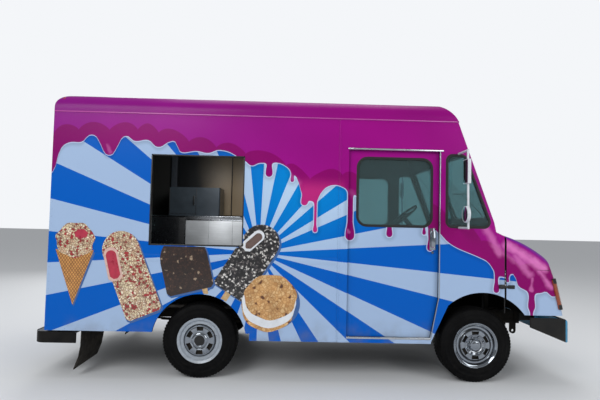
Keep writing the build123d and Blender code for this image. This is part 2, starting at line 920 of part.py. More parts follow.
# Lamps
with BuildPart() as rear_lamps:
    for sign in (-1, 1):
        with Locations(Location((rear_x - 10, sign * 920, 760), (0, 90, 0))):
            Cylinder(52, 20)
        with Locations(Location((rear_x - 10, sign * 920, 900), (0, 90, 0))):
            Cylinder(52, 20)
keep(rear_lamps, "rear_lamps")

# Hood: the moulded nose, lofted through three arched sections and cut to the plan of
# its front, which leans back more steeply above the brow
hood_back_x = hood_seam_x + 20
hood_skin = 20
nose_foot_x, nose_foot_z = 2562, 682
brow_z = 1030
nose_lean, brow_lean = 0.235, 0.362
brow_x = nose_foot_x - nose_lean * (brow_z - nose_foot_z)
nose_corner_r = 80
lean_angle = degrees(atan(nose_lean))
# columns: x, shoulder height, crown height, shoulder radius
hood_sections = (
    (hood_back_x - 30, 1461, 1495, 55),
    (2286, 1312, 1385, 143),
    (2600, 1049, 1203, 260),
)
grille_z = (790, 1020)
grille_half = 520
lamp_y, lamp_z, lamp_r = 740, 920, 105


def nose_x(z):
    """Front face of the nose at a height below the brow."""
    return nose_foot_x - nose_lean * (z - nose_foot_z)


hood_forms = []
for inset in (0, hood_skin):
    half = half_width - inset
    with BuildPart() as form:
        for x, shoulder, crown, radius in hood_sections:
            with BuildSketch(Plane.YZ.offset(x)) as section:
                with BuildLine():
                    over = ThreePointArc(
                        (-half, shoulder - inset), (0, crown - inset), (half, shoulder - inset)
                    )
                    Polyline(over @ 0, (-half, 400), (half, 400), over @ 1)
                make_face()
                fillet(section.vertices().sort_by(Axis.Y)[-2:], radius - inset)
        loft()
        for lean, low_x, low_z in (
            (nose_lean, nose_foot_x, nose_foot_z),
            (brow_lean, brow_x, brow_z),
        ):
            front = low_x + 400 * lean - inset
            with BuildSketch(Plane.XY.offset(low_z - 400)) as plan:
                with Locations(((front + 1500) / 2, 0)):
                    Rectangle(front - 1500, 2 * (half + 3))
                fillet(plan.vertices().group_by(Axis.X)[-1], nose_corner_r - inset)
            extrude(amount=1600, dir=(-lean, 0, 1), mode=Mode.INTERSECT)
    hood_forms.append(form.part)
with BuildPart() as hood_shell:
    add(hood_forms[0])
    add(hood_forms[1], mode=Mode.SUBTRACT)
    with BuildSketch(Plane.XZ.offset(-half_width - 10)):
        with BuildLine():
            Polyline(
                (hood_back_x, nose_foot_z),
                (nose_foot_x + 200, nose_foot_z),
                (nose_foot_x + 200, 1700),
                (hood_back_x, 1700),
                close=True,
            )
        make_face()
        with Locations(front_arch):
            Circle(front_arch_r, mode=Mode.SUBTRACT)
    extrude(amount=2 * half_width + 20, mode=Mode.INTERSECT)
    with BuildSketch(Plane.YZ.offset(2300)):
        with Locations((0, sum(grille_z) / 2)):
            Rectangle(2 * grille_half, grille_z[1] - grille_z[0])
    extrude(amount=400, mode=Mode.SUBTRACT)
    for sign in (-1, 1):
        square = Location((nose_x(lamp_z), sign * lamp_y, lamp_z), (0, 90 - lean_angle, 0))
        with Locations(square):
            Cylinder(lamp_r, 200, mode=Mode.SUBTRACT)
        # Hinge lug behind the skin, round the pin of the frame's arm
        with BuildSketch(side_plane(sign, rail_outer + 25, 12)):
            with Locations(((hinge_pin[0] + nose_x(hinge_pin[1]) - 12) / 2, hinge_pin[1])):
                Rectangle(nose_x(hinge_pin[1]) - 12 - hinge_pin[0], 18)
            with Locations(hinge_pin):
                Circle(9)
                Circle(hinge_pin_r + running_gap, mode=Mode.SUBTRACT)
        extrude(amount=12)
keep(hood_shell, "hood_shell")

# Splash shields in the nose that close the front half of each wheel arch
shield_x = hood_back_x + 4
# columns: outer reach, inner reach, radius of the hollow
shields = ((inner_half + 5, 640, front_wheelhouse_r), (648, 640, 0))
with BuildPart() as hood_shields:
    for side, sign in SIDES:
        for outer, inner, hollow_r in shields:
            with BuildSketch(side_plane(sign, outer, outer - inner)):
                with Locations(front_arch):
                    Circle(front_wheelhouse_r + 10)
                    if hollow_r:
                        Circle(hollow_r, mode=Mode.SUBTRACT)
                with Locations((shield_x + 200, nose_foot_z + 200)):
                    Rectangle(400, 400, mode=Mode.INTERSECT)
            extrude(amount=outer - inner)
keep(hood_shields, "hood_shields")

# Grille: slats on four uprights, laid back with the face of the nose
with BuildPart() as grille:
    for n in range(5):
        z = grille_z[0] + 22 + n * 46
        with Locations((nose_x(z) - 22, 0, z)):
            Box(24, 2 * grille_half - 0.6, 14)
    for y in (-511, -172, 172, 519):
        with BuildSketch(Plane.XZ.offset(-y)):
            with BuildLine():
                low, high = grille_z[0] + 0.5, grille_z[1] - 0.5
                Polyline(
                    (nose_x(low) - 34, low),
                    (nose_x(low) - 14, low),
                    (nose_x(high) - 14, high),
                    (nose_x(high) - 34, high),
                    close=True,
                )
            make_face()
        extrude(amount=8)
keep(grille, "grille")

# Headlamps set square to the nose
with BuildPart() as headlamps:
    for sign in (-1, 1):
        square = Location((nose_x(lamp_z), sign * lamp_y, lamp_z), (0, 90 - lean_angle, 0))
        with Locations(square * Location((0, 0, -21))):
            Cylinder(lamp_r - 0.3, 40)
    chamfer(headlamps.edges().filter_by(GeomType.CIRCLE).group_by(Axis.X)[-1], 8)
keep(headlamps, "headlamps")

# Corner lamps wrapped round the front corners of the nose
corner_lamp_z = (745, 1042)
with BuildPart() as corner_lamps:
    for sign in (-1, 1):
        corner_x = nose_x(corner_lamp_z[0]) - nose_corner_r
        corner_y = half_width + 3 - nose_corner_r
        with BuildSketch(Plane.XY.offset(corner_lamp_z[0])):
            with Locations((corner_x, sign * corner_y)):
                Circle(nose_corner_r + 16)
                Circle(nose_corner_r + 0.3, mode=Mode.SUBTRACT)
            with BuildLine():
                Polyline(
                    (corner_x, sign * corner_y),
                    (corner_x + 40, sign * (corner_y + 150)),
                    (corner_x + 250, sign * (corner_y + 150)),
                    (corner_x + 250, sign * corner_y),
                    close=True,
                )
            make_face(mode=Mode.INTERSECT)
        extrude(amount=corner_lamp_z[1] - corner_lamp_z[0], dir=(-nose_lean, 0, 1))
keep(corner_lamps, "corner_lamps")

# Steering knuckles with spindle, kingpin and arm
for side, sign in SIDES:
    with BuildPart() as knuckle:
        with BuildSketch(side_plane(sign, kingpin_y + 62, 14)):
            with Locations((front_axle_x, axle_z)):
                Circle(78)
        extrude(amount=14)
        for end in (-1, 1):
            with Locations((front_axle_x, sign * (kingpin_y + 10), axle_z + end * 53)):
                Box(60, 84, 24)
        with Locations((front_axle_x, sign * kingpin_y, axle_z)):
            Cylinder(kingpin_r, 130)
        with BuildSketch(side_plane(sign, spindle_end, spindle_end - kingpin_y - 60)):
            with Locations((front_axle_x, axle_z)):
                Circle(spindle_r)
        extrude(amount=spindle_end - kingpin_y - 60)
        with Locations((front_axle_x - steer_arm / 2, sign * kingpin_y, axle_z - 53)):
            Box(steer_arm + 20, 30, 16)
        with Locations((front_axle_x - steer_arm, sign * kingpin_y, tie_rod_z + 5)):
            Cylinder(stud_r, 2 * (axle_z - 61 - tie_rod_z - 5))
    keep(knuckle, f"knuckle_{side}")

# Tie rod between the arms, open at its right end
with BuildPart() as tie_rod:
    with BuildSketch(Plane.XZ.offset(-kingpin_y + 10)):
        with Locations((front_axle_x - steer_arm, tie_rod_z)):
            Circle(13)
    extrude(amount=2 * kingpin_y - 20)
    for sign, bore in ((1, stud_r + running_gap), (-1, stud_r + 1)):
        with Locations((front_axle_x - steer_arm, sign * kingpin_y, tie_rod_z)):
            Cylinder(22, 30)
            Cylinder(bore, 30, mode=Mode.SUBTRACT)
keep(tie_rod, "tie_rod")

# Wheels and tyres
slot_count = 6
for place, axle_x in (("front", front_axle_x), ("rear", rear_axle_x)):
    for side, sign in SIDES:
        centre = Plane(origin=(axle_x, 0, axle_z), x_dir=(0, sign, 0), z_dir=(sign, 0, 0))
        spin = Axis((axle_x, 0, axle_z), (0, 1, 0))
        near, far = wheel_y - tyre_half, wheel_y + tyre_half
        with BuildPart() as tyre:
            with BuildSketch(centre):
                with BuildLine():
                    Polyline(
                        (near + 14, bead_r),
                        (near, rim_r + 60),
                        (near + 24, tyre_r),
                        (far - 24, tyre_r),
                        (far, rim_r + 60),
                        (far - 14, bead_r),
                        close=True,
                    )
                make_face()
            revolve(axis=spin)
        keep(tyre, f"tyre_{place}_{side}")
        # Wheel: rim barrel with two flanges, dished disc and blind hub
        with BuildPart() as wheel:
            with BuildSketch(centre):
                with BuildLine():
                    Polyline(
                        (near + 4, rim_r),
                        (near + 14, bead_r - 0.3),
                        (far - 14, bead_r - 0.3),
                        (far - 4, rim_r),
                        (far - 14, 198),
                        (far - 34, 186),
                        (far - 34, 166),
                        (far - 12, 142),
                        (far - 12, 98),
                        (far - 22, 64),
                        (far - 4, 48),
                        (far - 4, 0),
                        (far - spindle_in + 6, 0),
                        (far - spindle_in + 6, spindle_r + running_gap),
                        (far - 110, spindle_r + running_gap),
                        (far - 110, 60),
                        (far - 50, 66),
                        (far - 28, 98),
                        (far - 28, 138),
                        (far - 48, 184),
                        (near + 40, 197),
                        close=True,
                    )
                make_face()
            revolve(axis=spin)
            with BuildSketch(side_plane(sign, far, 40)):
                with Locations((axle_x, axle_z)):
                    with PolarLocations(slot_r, slot_count, 30):
                        Trapezoid(74, 44, 80, rotation=90)
            extrude(amount=40, mode=Mode.SUBTRACT)
        keep(wheel, f"wheel_{place}_{side}")
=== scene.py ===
import bpy
import bmesh
from math import asin, cos, hypot, pi, radians, sin, tan
from mathutils import Matrix, Vector


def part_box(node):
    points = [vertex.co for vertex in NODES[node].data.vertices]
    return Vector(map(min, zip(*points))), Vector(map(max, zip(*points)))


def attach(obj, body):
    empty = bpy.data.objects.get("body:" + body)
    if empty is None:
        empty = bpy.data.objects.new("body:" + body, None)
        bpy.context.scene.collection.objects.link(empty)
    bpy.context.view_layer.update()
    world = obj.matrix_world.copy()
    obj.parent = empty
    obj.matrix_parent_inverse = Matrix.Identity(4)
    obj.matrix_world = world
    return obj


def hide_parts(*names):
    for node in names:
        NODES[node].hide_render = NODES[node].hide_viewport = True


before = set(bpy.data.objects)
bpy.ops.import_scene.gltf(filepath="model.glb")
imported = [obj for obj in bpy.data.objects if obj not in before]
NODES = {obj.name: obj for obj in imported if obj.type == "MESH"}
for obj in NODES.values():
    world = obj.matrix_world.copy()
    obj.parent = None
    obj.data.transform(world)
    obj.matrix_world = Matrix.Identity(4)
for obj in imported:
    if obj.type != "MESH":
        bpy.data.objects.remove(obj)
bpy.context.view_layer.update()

# Main sizes in metres, the same as the solids have
HALF_WIDTH = 1.090
DOOR_FACE = 1.055
REAR_X = -2.513
AXLE_Z = 0.366
FRONT_AXLE_X, REAR_AXLE_X = 1.690, -1.035
AXLES = (("front", FRONT_AXLE_X), ("rear", REAR_AXLE_X))
WHEEL_Y = 0.925
RIM_Y = WHEEL_Y + 0.112
WINDOW_X, WINDOW_Z = (-1.550, -0.634), (1.290, 2.182)
SIDES = (("right", -1), ("left", 1))
UP = Vector((0, 0, 1))


# Materials
def linear(code):
    """An sRGB hex colour as linear RGBA."""
    channels = [int(code[i:i + 2], 16) / 255 for i in (0, 2, 4)]
    return [c / 12.92 if c <= 0.04045 else ((c + 0.055) / 1.055) ** 2.4 for c in channels] + [1]


class Nodes:
    """Adds shader nodes to a tree. A value may be a number, a node, a socket or a hex colour."""

    def __init__(self, tree):
        self.tree = tree

    def feed(self, socket, value):
        if isinstance(value, bpy.types.Node):
            value = value.outputs[0]
        if isinstance(value, bpy.types.NodeSocket):
            self.tree.links.new(value, socket)
        elif value is not None:
            socket.default_value = linear(value) if isinstance(value, str) else value

    def add(self, kind, settings, *values):
        """Settings are the properties of the node, the values its inputs in their order."""
        node = self.tree.nodes.new("ShaderNode" + kind)
        for key, value in settings.items():
            setattr(node, key, value)
        for number, value in enumerate(values):
            self.feed(node.inputs[number], value)
        return node

    def maths(self, operation, *values):
        return self.add("Math", {"operation": operation}, *values).outputs[0]

    def times(self, one, two):
        return self.maths("MULTIPLY", one, two)

    def minus(self, one, two):
        return self.maths("SUBTRACT", one, two)

    def vector(self, operation, *values):
        node = self.add("VectorMath", {"operation": operation}, *values)
        return node.outputs["Value" if operation in ("LENGTH", "DISTANCE", "DOT_PRODUCT") else "Vector"]

    def combined(self, *values):
        return self.add("CombineXYZ", {}, *values).outputs[0]

    def split(self, value):
        return self.add("SeparateXYZ", {}, value).outputs

    def ramp(self, value, low, high, start=0.0, end=1.0, smooth=False):
        kind = {"interpolation_type": "SMOOTHSTEP"} if smooth else {}
        return self.add("MapRange", kind, value, low, high, start, end).outputs[0]

    def mixed(self, share, one, two, blend="MIX"):
        """Colour one where share is 0 and colour two where it is 1."""
        node = self.add("Mix", {"data_type": "RGBA", "blend_type": blend}, share)
        self.feed(node.inputs[6], one)
        self.feed(node.inputs[7], two)
        return node.outputs[2]

    def toned(self, colour, tone):
        """A colour multiplied by a grey value."""
        return self.mixed(1.0, colour, self.combined(tone, tone, tone), "MULTIPLY")

    def curve(self, value, points, x_span, y_span):
        """A value read off a table of points: spans are the range of each column."""
        (x_low, x_high), (y_low, y_high) = x_span, y_span
        node = self.add("FloatCurve", {}, 1.0, self.ramp(value, x_low, x_high))
        knots = node.mapping.curves[0].points
        for number, (x, y) in enumerate(points):
            spot = ((x - x_low) / (x_high - x_low), (y - y_low) / (y_high - y_low))
            if number < 2:
                knots[number].location = spot
            else:
                knots.new(*spot)
        node.mapping.update()
        return self.maths("MULTIPLY_ADD", node.outputs[0], y_high - y_low, y_low)


class Finish(Nodes):
    """A material in the making. Its textures read Object coordinates, so they stay with the piece."""

    def __init__(self, name):
        self.material = bpy.data.materials.new(name)
        self.material.use_nodes = True
        super().__init__(self.material.node_tree)
        self.shader = self.tree.nodes["Principled BSDF"]
        self.place = self.tree.nodes.new("ShaderNodeTexCoord").outputs["Object"]

    def noise(self, scale, detail, place=None):
        return self.add("TexNoise", {}, self.place if place is None else place, None, scale, detail)

    def speckle(self, noise, start, end, low=0.3, high=0.7):
        """The middle of a noise, spread between two values."""
        return self.ramp(noise, low, high, start, end)

    def bump(self, strength, depth, height, under=None):
        return self.add("Bump", {}, strength, depth, None, height, under)

    def own_normal(self, kind):
        """The surface normal in the piece's own axes, so that a print stays put when the piece moves."""
        normal = self.add("NewGeometry", {}).outputs[kind]
        settings = {"vector_type": "NORMAL", "convert_from": "WORLD", "convert_to": "OBJECT"}
        return self.add("VectorTransform", settings, normal)

    def set(self, **inputs):
        """Gives the shader its inputs, with underscores for spaces, and returns the material."""
        for key, value in inputs.items():
            self.feed(self.shader.inputs[key.replace("_", " ")], value)
        return self.material


# Printed vinyl wrap
# columns: place along the body, height of the icing between its drips
ICING_EDGE = (
    (-2.55, 1.96), (-2.509, 1.979), (-2.45, 2.167), (-2.405, 2.247), (-2.339, 2.278), (-2.242, 2.281),
    (-2.139, 2.357), (-2.047, 2.257), (-1.965, 2.160), (-1.882, 2.261), (-1.808, 2.352),
    (-1.718, 2.305), (-1.592, 2.318), (-1.492, 2.252), (-1.386, 2.304), (-1.337, 2.315),
    (-1.265, 2.208), (-1.109, 2.222), (-1.001, 2.205), (-0.884, 2.238), (-0.635, 2.136),
    (-0.566, 2.108), (-0.487, 2.120), (-0.30, 2.124), (-0.24, 2.10), (-0.13, 2.00), (-0.05, 1.82),
    (0.044, 1.76), (0.121, 1.838), (0.179, 1.899), (0.258, 1.921), (0.34, 1.90), (0.50, 1.80),
    (0.62, 1.57), (0.90, 1.55), (1.18, 1.56), (1.27, 1.50), (1.42, 1.36), (1.70, 1.24),
    (1.773, 1.205), (1.833, 1.14), (1.942, 1.054), (2.033, 1.086), (2.08, 0.98), (2.12, 0.945),
    (2.30, 0.90), (2.366, 0.915), (2.43, 0.87), (2.60, 0.94), (2.80, 0.90), (3.10, 0.95), (3.60, 0.93),
)
# columns: place along the body, height of the tip, half width
DRIPS = (
    (-0.566, 2.10, 0.026), (-0.395, 1.985, 0.034), (-0.165, 1.94, 0.018), (-0.04, 1.712, 0.032),
    (0.07, 1.450, 0.020), (0.416, 1.378, 0.046), (0.811, 1.418, 0.030), (1.156, 1.45, 0.016),
    (1.22, 1.29, 0.030), (1.871, 0.895, 0.028), (1.985, 1.00, 0.012), (2.222, 0.74, 0.030), (2.222, 0.50, 0.024),
    (2.66, 0.80, 0.030), (2.95, 0.62, 0.034), (3.30, 0.78, 0.030),
)
# Cusps between the lobes of the darker band in the icing. columns: along, height
LOBES = (
    (-2.60, 2.20), (-2.52, 2.33), (-2.27, 2.40), (-1.97, 2.405), (-1.695, 2.415), (-1.49, 2.39), (-1.19, 2.31),
    (-0.92, 2.26), (-0.63, 2.205), (-0.23, 2.10), (0.01, 1.97), (0.33, 2.02), (0.62, 1.85), (1.00, 1.74),
    (1.36, 1.66), (1.72, 1.40), (2.10, 1.16), (2.50, 1.10), (2.90, 1.09), (3.30, 1.10), (3.60, 1.10),
)
LOBE_SPAN = (-2.6, 3.6)
BURST_X, BURST_Z = -0.474, 1.237
# Angles in degrees where the rays change between white and blue; white follows the first
RAY_EDGES = (
    3.9, 12.3, 24.7, 32.3, 42.3, 49.0, 61.4, 69.3, 79.5, 88.2, 97.0, 105.5, 114.0, 122.8, 131.6,
    140.4, 148.9, 157.4, 166.6, 175.3, 183.8, 192.4, 201.7, 209.8, 218.2, 226.7, 235.0, 243.6,
    252.0, 260.5, 270.0, 278.0, 285.5, 297.0, 305.2, 316.8, 327.7, 336.6, 347.2, 354.9,
)
# How far the stripe that crosses angle 0 has gone there
FIRST_STRIPE = 5.1 / 9
# Painted highlights in the icing. columns: from along, height; to along, height; reach, strength
PAINTED_HIGHLIGHTS = (
    (0.42, 1.86, 0.62, 1.70, 0.06, 0.15), (0.405, 1.52, 0.405, 1.46, 0.014, 0.45),
    (1.74, 1.58, 1.90, 1.28, 0.06, 0.50), (1.90, 1.30, 2.05, 1.22, 0.05, 0.35), (1.98, 1.37, 2.34, 1.14, 0.075, 0.75),
    (2.06, 1.26, 2.20, 1.08, 0.06, 0.50), (2.30, 1.12, 2.42, 0.96, 0.045, 0.60),
    (2.23, 1.04, 2.215, 0.93, 0.022, 0.45), (-0.24, 2.07, -0.10, 1.92, 0.05, 0.20),
    (-1.99, 2.26, -1.95, 2.19, 0.025, 0.25), (2.62, 1.12, 3.5, 1.14, 0.05, 0.15),
)
# The nose of the cab behind the hood is bare: it starts at this x and ends at this height
NOSE_START, NOSE_TOP = 1.90, 1.46
# Half the width between the edges where the print turns round the ends
PRINT_EDGE = 1.05
# Wheelhouses in the deck: radius about the axle, inner side, and the height of the deck's underside
HOUSE_R, HOUSE_Y, DECK_UNDER = 0.56, 0.68, 0.69


def printed_vinyl(name, lining, core, weights, low, bare_nose=False):
    """Glossy cast vinyl, printed with icing that drips over blue and white rays; plain inside."""
    f = Finish(name)
    x, y, height = f.split(f.place)
    # The print runs on round the ends: every millimetre in from their edge counts as one along the side
    across = f.maths("ABSOLUTE", y)
    along = f.maths("ADD", x, f.maths("MAXIMUM", f.minus(PRINT_EDGE, across), 0.0))

    # Signed distance to the icing: below zero is icing
    icing = f.minus(f.curve(along, ICING_EDGE, (-2.55, 3.6), (0.0, 3.0)), height)
    for drip_x, tip, half in DRIPS:
        aside = f.minus(along, drip_x)
        below = f.maths("MINIMUM", f.minus(height, tip + half), 0.0)
        neck = f.ramp(height, tip + half * 1.3, tip + half * 4.2, half, half * 0.62, smooth=True)
        drip = f.minus(f.vector("LENGTH", f.combined(aside, below)), neck)
        icing = f.maths("SMOOTH_MIN", icing, drip, 0.07)

    # Rays about their centre, counted in stripes
    angle = f.maths("ARCTAN2", f.minus(BURST_Z, height), f.minus(BURST_X, along))
    stripes = len(RAY_EDGES)
    edges = [(0.0, FIRST_STRIPE - 1)]
    edges += [(radians(turn), number) for number, turn in enumerate(RAY_EDGES)]
    edges += [(2 * pi, stripes - 1 + FIRST_STRIPE)]
    count = f.curve(f.maths("ADD", angle, pi), edges, (0.0, 2 * pi), (-2.0, 42.0))
    blue = f.maths("GREATER_THAN", f.maths("FRACT", f.maths("MULTIPLY_ADD", count, 0.5, 4.0)), 0.5)

    # Inks of the rays, with the soft shadow and the thin pale rim of the icing. The white ink is painted blue-grey as
    # painted shade, and the rays are painted lighter round a spot under the icing, a painted reflection of the sky
    here = f.combined(along, height)
    painted_sky_reflection = f.ramp(f.vector("DISTANCE", here, (-0.05, 2.00, 0)), 0.10, 1.05, 1.0, 0.0, smooth=True)
    rays = f.mixed(blue, f.mixed(painted_sky_reflection, "98AECC", "ABC4DE"), f.mixed(painted_sky_reflection, "0055B0", "007AC4"))
    rays = f.toned(rays, f.ramp(icing, 0.008, 0.060, 0.78, 1.0, smooth=True))
    rimmed = f.mixed(f.ramp(icing, 0.006, 0.010, 0.75, 0.0), rays, "B9C6E2")
    # Icing: a darker band with a scalloped upper edge, more violet above it and to the rear
    cusps = [(x_, 2.0 * number) for number, (x_, _) in enumerate(LOBES)]
    lobes = f.curve(along, cusps, LOBE_SPAN, (0.0, 2.0 * len(LOBES)))
    lobes = f.maths("POWER", f.maths("ABSOLUTE", f.maths("SINE", f.times(lobes, pi / 2))), 0.7)
    band = f.maths("MULTIPLY_ADD", lobes, 0.075, f.curve(along, LOBES, LOBE_SPAN, (0.0, 3.0)))
    rearward = f.ramp(along, -2.5, 0.6)
    inks = f.mixed(f.ramp(f.minus(height, band), -0.002, 0.002),
                   f.mixed(rearward, "7C0360", "80045F"), f.mixed(rearward, "861580", "900878"))
    # Ahead of the burst the icing turns pink towards its edge
    flush = f.times(f.ramp(height, 2.02, 1.84, smooth=True), f.ramp(along, -0.22, -0.02, smooth=True))
    flush = f.times(flush, f.ramp(along, 0.40, 0.30, 0.0, 0.85, smooth=True))
    inks = f.mixed(flush, inks, "B22873")
    inks = f.toned(inks, f.speckle(f.noise(1.1, 2.0), 0.9, 1.08))
    # The roof is darker
    inks = f.toned(inks, f.ramp(height, 2.50, 2.68, 1.0, 0.80, smooth=True))
    # Painted highlights: pale pink streaks mixed into the icing's ink
    stray = f.maths("MULTIPLY_ADD", f.noise(9.0, 2.0), 0.08, -0.04)
    painted_highlight = 0.0
    for x0, z0, x1, z1, reach, strength in PAINTED_HIGHLIGHTS:
        line = Vector((x1 - x0, z1 - z0, 0))
        past = f.vector("SUBTRACT", here, (x0, z0, 0))
        share = f.add("Clamp", {}, f.vector("DOT_PRODUCT", past, tuple(line / line.length_squared)))
        foot = f.vector("MULTIPLY", tuple(line), f.combined(share, share, share))
        away = f.maths("ADD", f.vector("DISTANCE", past, foot), stray)
        painted_highlight = f.maths("MAXIMUM", painted_highlight, f.ramp(away, 0.0, reach, strength, 0.0, smooth=True))
    inks = f.mixed(painted_highlight, inks, "DC7CBE")
    # Faces of the nose that look up are painted violet: a painted reflection of the sky
    tilt = f.split(f.own_normal("Normal"))[2]
    ahead = f.maths("GREATER_THAN", x, NOSE_START)
    inks = f.mixed(f.times(f.ramp(tilt, 0.35, 0.80, 0.0, 0.75, smooth=True), ahead), inks, "4B1689")
    print_ = f.mixed(f.ramp(icing, -0.0015, 0.0015, 1.0, 0.0), rimmed, inks)

    # Faces that look inwards, and cut edges, are bare
    middle = f.vector("MULTIPLY", f.vector("SUBTRACT", f.place, core), weights)
    outside = f.maths("GREATER_THAN", f.vector("DOT_PRODUCT", f.own_normal("True Normal"), middle), low)
    if bare_nose:
        nose = f.times(ahead, f.maths("LESS_THAN", height, NOSE_TOP))
        nose = f.times(nose, f.maths("LESS_THAN", across, HALF_WIDTH - 0.0015))
        outside = f.times(outside, f.minus(1.0, nose))
        lining = f.mixed(nose, lining, "0B0B0C")
    colour = f.mixed(outside, lining, print_)
    # Road dust low down
    dust = f.times(f.ramp(height, 0.40, 0.62, 1.0, 0.0), f.speckle(f.noise(7.0, 5.0), 0.0, 0.4, 0.42, 0.70))

    # The film follows small dents of the sheet under it and has a fine orange peel
    wave = f.bump(0.04, 0.0004, f.noise(260.0, 2.0), f.bump(0.05, 0.02, f.noise(1.4, 2.0)))
    rough = f.maths("MULTIPLY_ADD", outside, -0.27, 0.55)
    return f.set(Base_Color=f.mixed(dust, colour, "6C665E"), Normal=wave,
                 Roughness=f.maths("ADD", rough, f.times(dust, 0.4)),
                 Specular_IOR_Level=0.09, Coat_Weight=0.03, Coat_Roughness=0.14)


def window_glass(name, tint, clean):
    """Flat toughened glass, faintly tinted, with a film of dust that dulls it in patches."""
    f = Finish(name)
    return f.set(Base_Color=tint, Roughness=f.speckle(f.noise(6.0, 4.0), clean, clean + 0.07, 0.4, 0.8),
                 Transmission_Weight=0.95, IOR=1.45)


def plain(name, colour, rough, metal=0.0, grain=(60.0, 0.06), coat=0.0, bump=0.0, dust=0.0, dust_top=0.9,
          shine=0.5, face=None):
    """A finish with mottled tone and roughness.

    grain is its scale per metre and its strength, dust the share of road dust below dust_top,
    face a second colour and the x from which it covers the part.
    """
    f = Finish(name)
    mottle = f.noise(grain[0], 5.0)
    x, y, height = f.split(f.place)
    if face:
        colour = f.mixed(f.maths("GREATER_THAN", x, face[1]), colour, face[0])
    colour = f.toned(colour, f.speckle(mottle, 1 - grain[1] * 2, 1 + grain[1]))
    worn = f.speckle(mottle, rough * 0.85, min(1.0, rough * 1.2))
    if dust:
        share = f.times(f.ramp(height, dust_top * 0.3, dust_top, dust, 0.0),
                        f.speckle(f.noise(9.0, 6.0), 0.35, 1.0, 0.35, 0.65))
        colour = f.mixed(share, colour, "6E675D")
        worn = f.maths("MAXIMUM", worn, f.times(share, 0.9))
    return f.set(Base_Color=colour, Roughness=worn, Normal=f.bump(0.5, bump, mottle) if bump else None,
                 Metallic=metal, Specular_IOR_Level=shine, Coat_Weight=coat)


def brushed(name, colour, rough, along, metal=1.0):
    """Sheet metal with a grain drawn out along one axis (0 is x, 1 is y, 2 is z)."""
    f = Finish(name)
    stretch = f.add("Mapping", {}, f.place)
    scale = [320.0, 320.0, 320.0]
    scale[along] = 6.0
    stretch.inputs["Scale"].default_value = scale
    lines = f.noise(1.0, 3.0, stretch)
    smudge = f.noise(5.0, 4.0)
    tone = f.times(f.speckle(lines, 0.88, 1.06), f.speckle(smudge, 0.86, 1.05))
    return f.set(Base_Color=f.toned(colour, tone), Roughness=f.speckle(smudge, rough * 0.8, rough * 1.3),
                 Normal=f.bump(0.12, 0.0003, lines), Metallic=metal)


def chequered(name, colour, rough, undercoat=False):
    """Aluminium tread plate with raised lozenges 30 mm apart, under black undercoat where it faces down."""
    f = Finish(name)
    x, y, z = f.split(f.place)
    one = f.maths("SINE", f.times(f.maths("ADD", x, y), 150.0))
    two = f.maths("SINE", f.times(f.minus(x, y), 150.0))
    lozenge = f.ramp(f.times(one, two), 0.45, 0.7)
    worn = f.noise(11.0, 5.0)
    tone = f.maths("ADD", f.speckle(worn, 0.62, 0.95), f.times(lozenge, 0.25))
    under = f.maths("LESS_THAN", f.split(f.own_normal("True Normal"))[2], -0.1)
    if undercoat:
        # The wheelhouses and all that lies below the deck
        spoke = f.vector("LENGTH", f.combined(f.minus(x, REAR_AXLE_X), 0.0, f.minus(z, AXLE_Z)))
        aside = f.maths("GREATER_THAN", f.maths("ABSOLUTE", y), HOUSE_Y)
        near = f.times(f.maths("LESS_THAN", spoke, HOUSE_R), aside)
        low = f.maths("LESS_THAN", z, DECK_UNDER)
        under = f.maths("MAXIMUM", under, f.maths("MAXIMUM", near, low))
    return f.set(Base_Color=f.mixed(under, f.toned(colour, tone), "040404"), Normal=f.bump(0.6, 0.0015, lozenge),
                 Roughness=f.speckle(worn, rough, rough * 1.5), Metallic=f.maths("MULTIPLY_ADD", under, -0.9, 0.9),
                 Specular_IOR_Level=f.maths("MULTIPLY_ADD", under, -0.45, 0.5))


def shade_painted_sheet(name, colour, dark, dark_x, lit_x):
    """Painted wall sheet, lit towards the front and in deep painted shade towards the rear and the top."""
    f = Finish(name)
    x, y, z = f.split(f.place)
    share = f.ramp(f.maths("MULTIPLY_ADD", f.noise(3.0, 4.0), 0.22, f.minus(x, 0.11)), dark_x, lit_x, smooth=True)
    share = f.times(share, f.ramp(z, 2.42, 1.95, 0.35, 1.0, smooth=True))
    return f.set(Base_Color=f.mixed(share, dark, colour), Roughness=0.5)


def crumbed(name, scale, gap, colours):
    """Printed picture of a crumb coat: chips of several colours with dark gaps between them."""
    f = Finish(name)
    flat = f.add("Mapping", {}, f.place)
    flat.inputs["Scale"].default_value = (1.0, 0.0, 1.0)
    warp = f.noise(30.0, 3.0, flat).outputs["Color"]
    bent = f.vector("MULTIPLY_ADD", warp, (0.02, 0.0, 0.02), flat)
    chips = f.add("TexVoronoi", {"voronoi_dimensions": "3D"}, bent, None, scale)
    tint = f.add("ValToRGB", {}, f.split(chips.outputs["Color"])[0])
    tint.color_ramp.interpolation = "CONSTANT"
    stops = tint.color_ramp.elements
    for number, (start, code) in enumerate(colours):
        stop = stops[number] if number < 2 else stops.new(start)
        stop.position = start
        stop.color = linear(code)
    rind = f.add("TexVoronoi", {"voronoi_dimensions": "3D", "feature": "DISTANCE_TO_EDGE"}, bent, None, scale)
    colour = f.mixed(f.ramp(rind.outputs["Distance"], 0.0, 0.16), gap, tint)
    colour = f.toned(colour, f.speckle(f.noise(8.0, 2.0, flat), 0.72, 1.08))
    return f.set(Base_Color=colour, Roughness=0.3, Coat_Weight=0.2)


def waffled(name):
    """Printed picture of a wafer: a crossed grid of darker lines 26 mm apart."""
    f = Finish(name)
    x, y, z = f.split(f.place)
    one, two = (f.maths("SINE", f.times(f.maths("MULTIPLY_ADD", x, lean, z), 160.0)) for lean in (1.4, -1.4))
    colour = f.mixed(f.ramp(f.maths("MAXIMUM", one, two), 0.55, 0.9), "C08A4C", "7A4A22")
    return f.set(Base_Color=f.toned(colour, f.speckle(f.noise(26.0, 5.0), 0.75, 1.1)), Roughness=0.3)


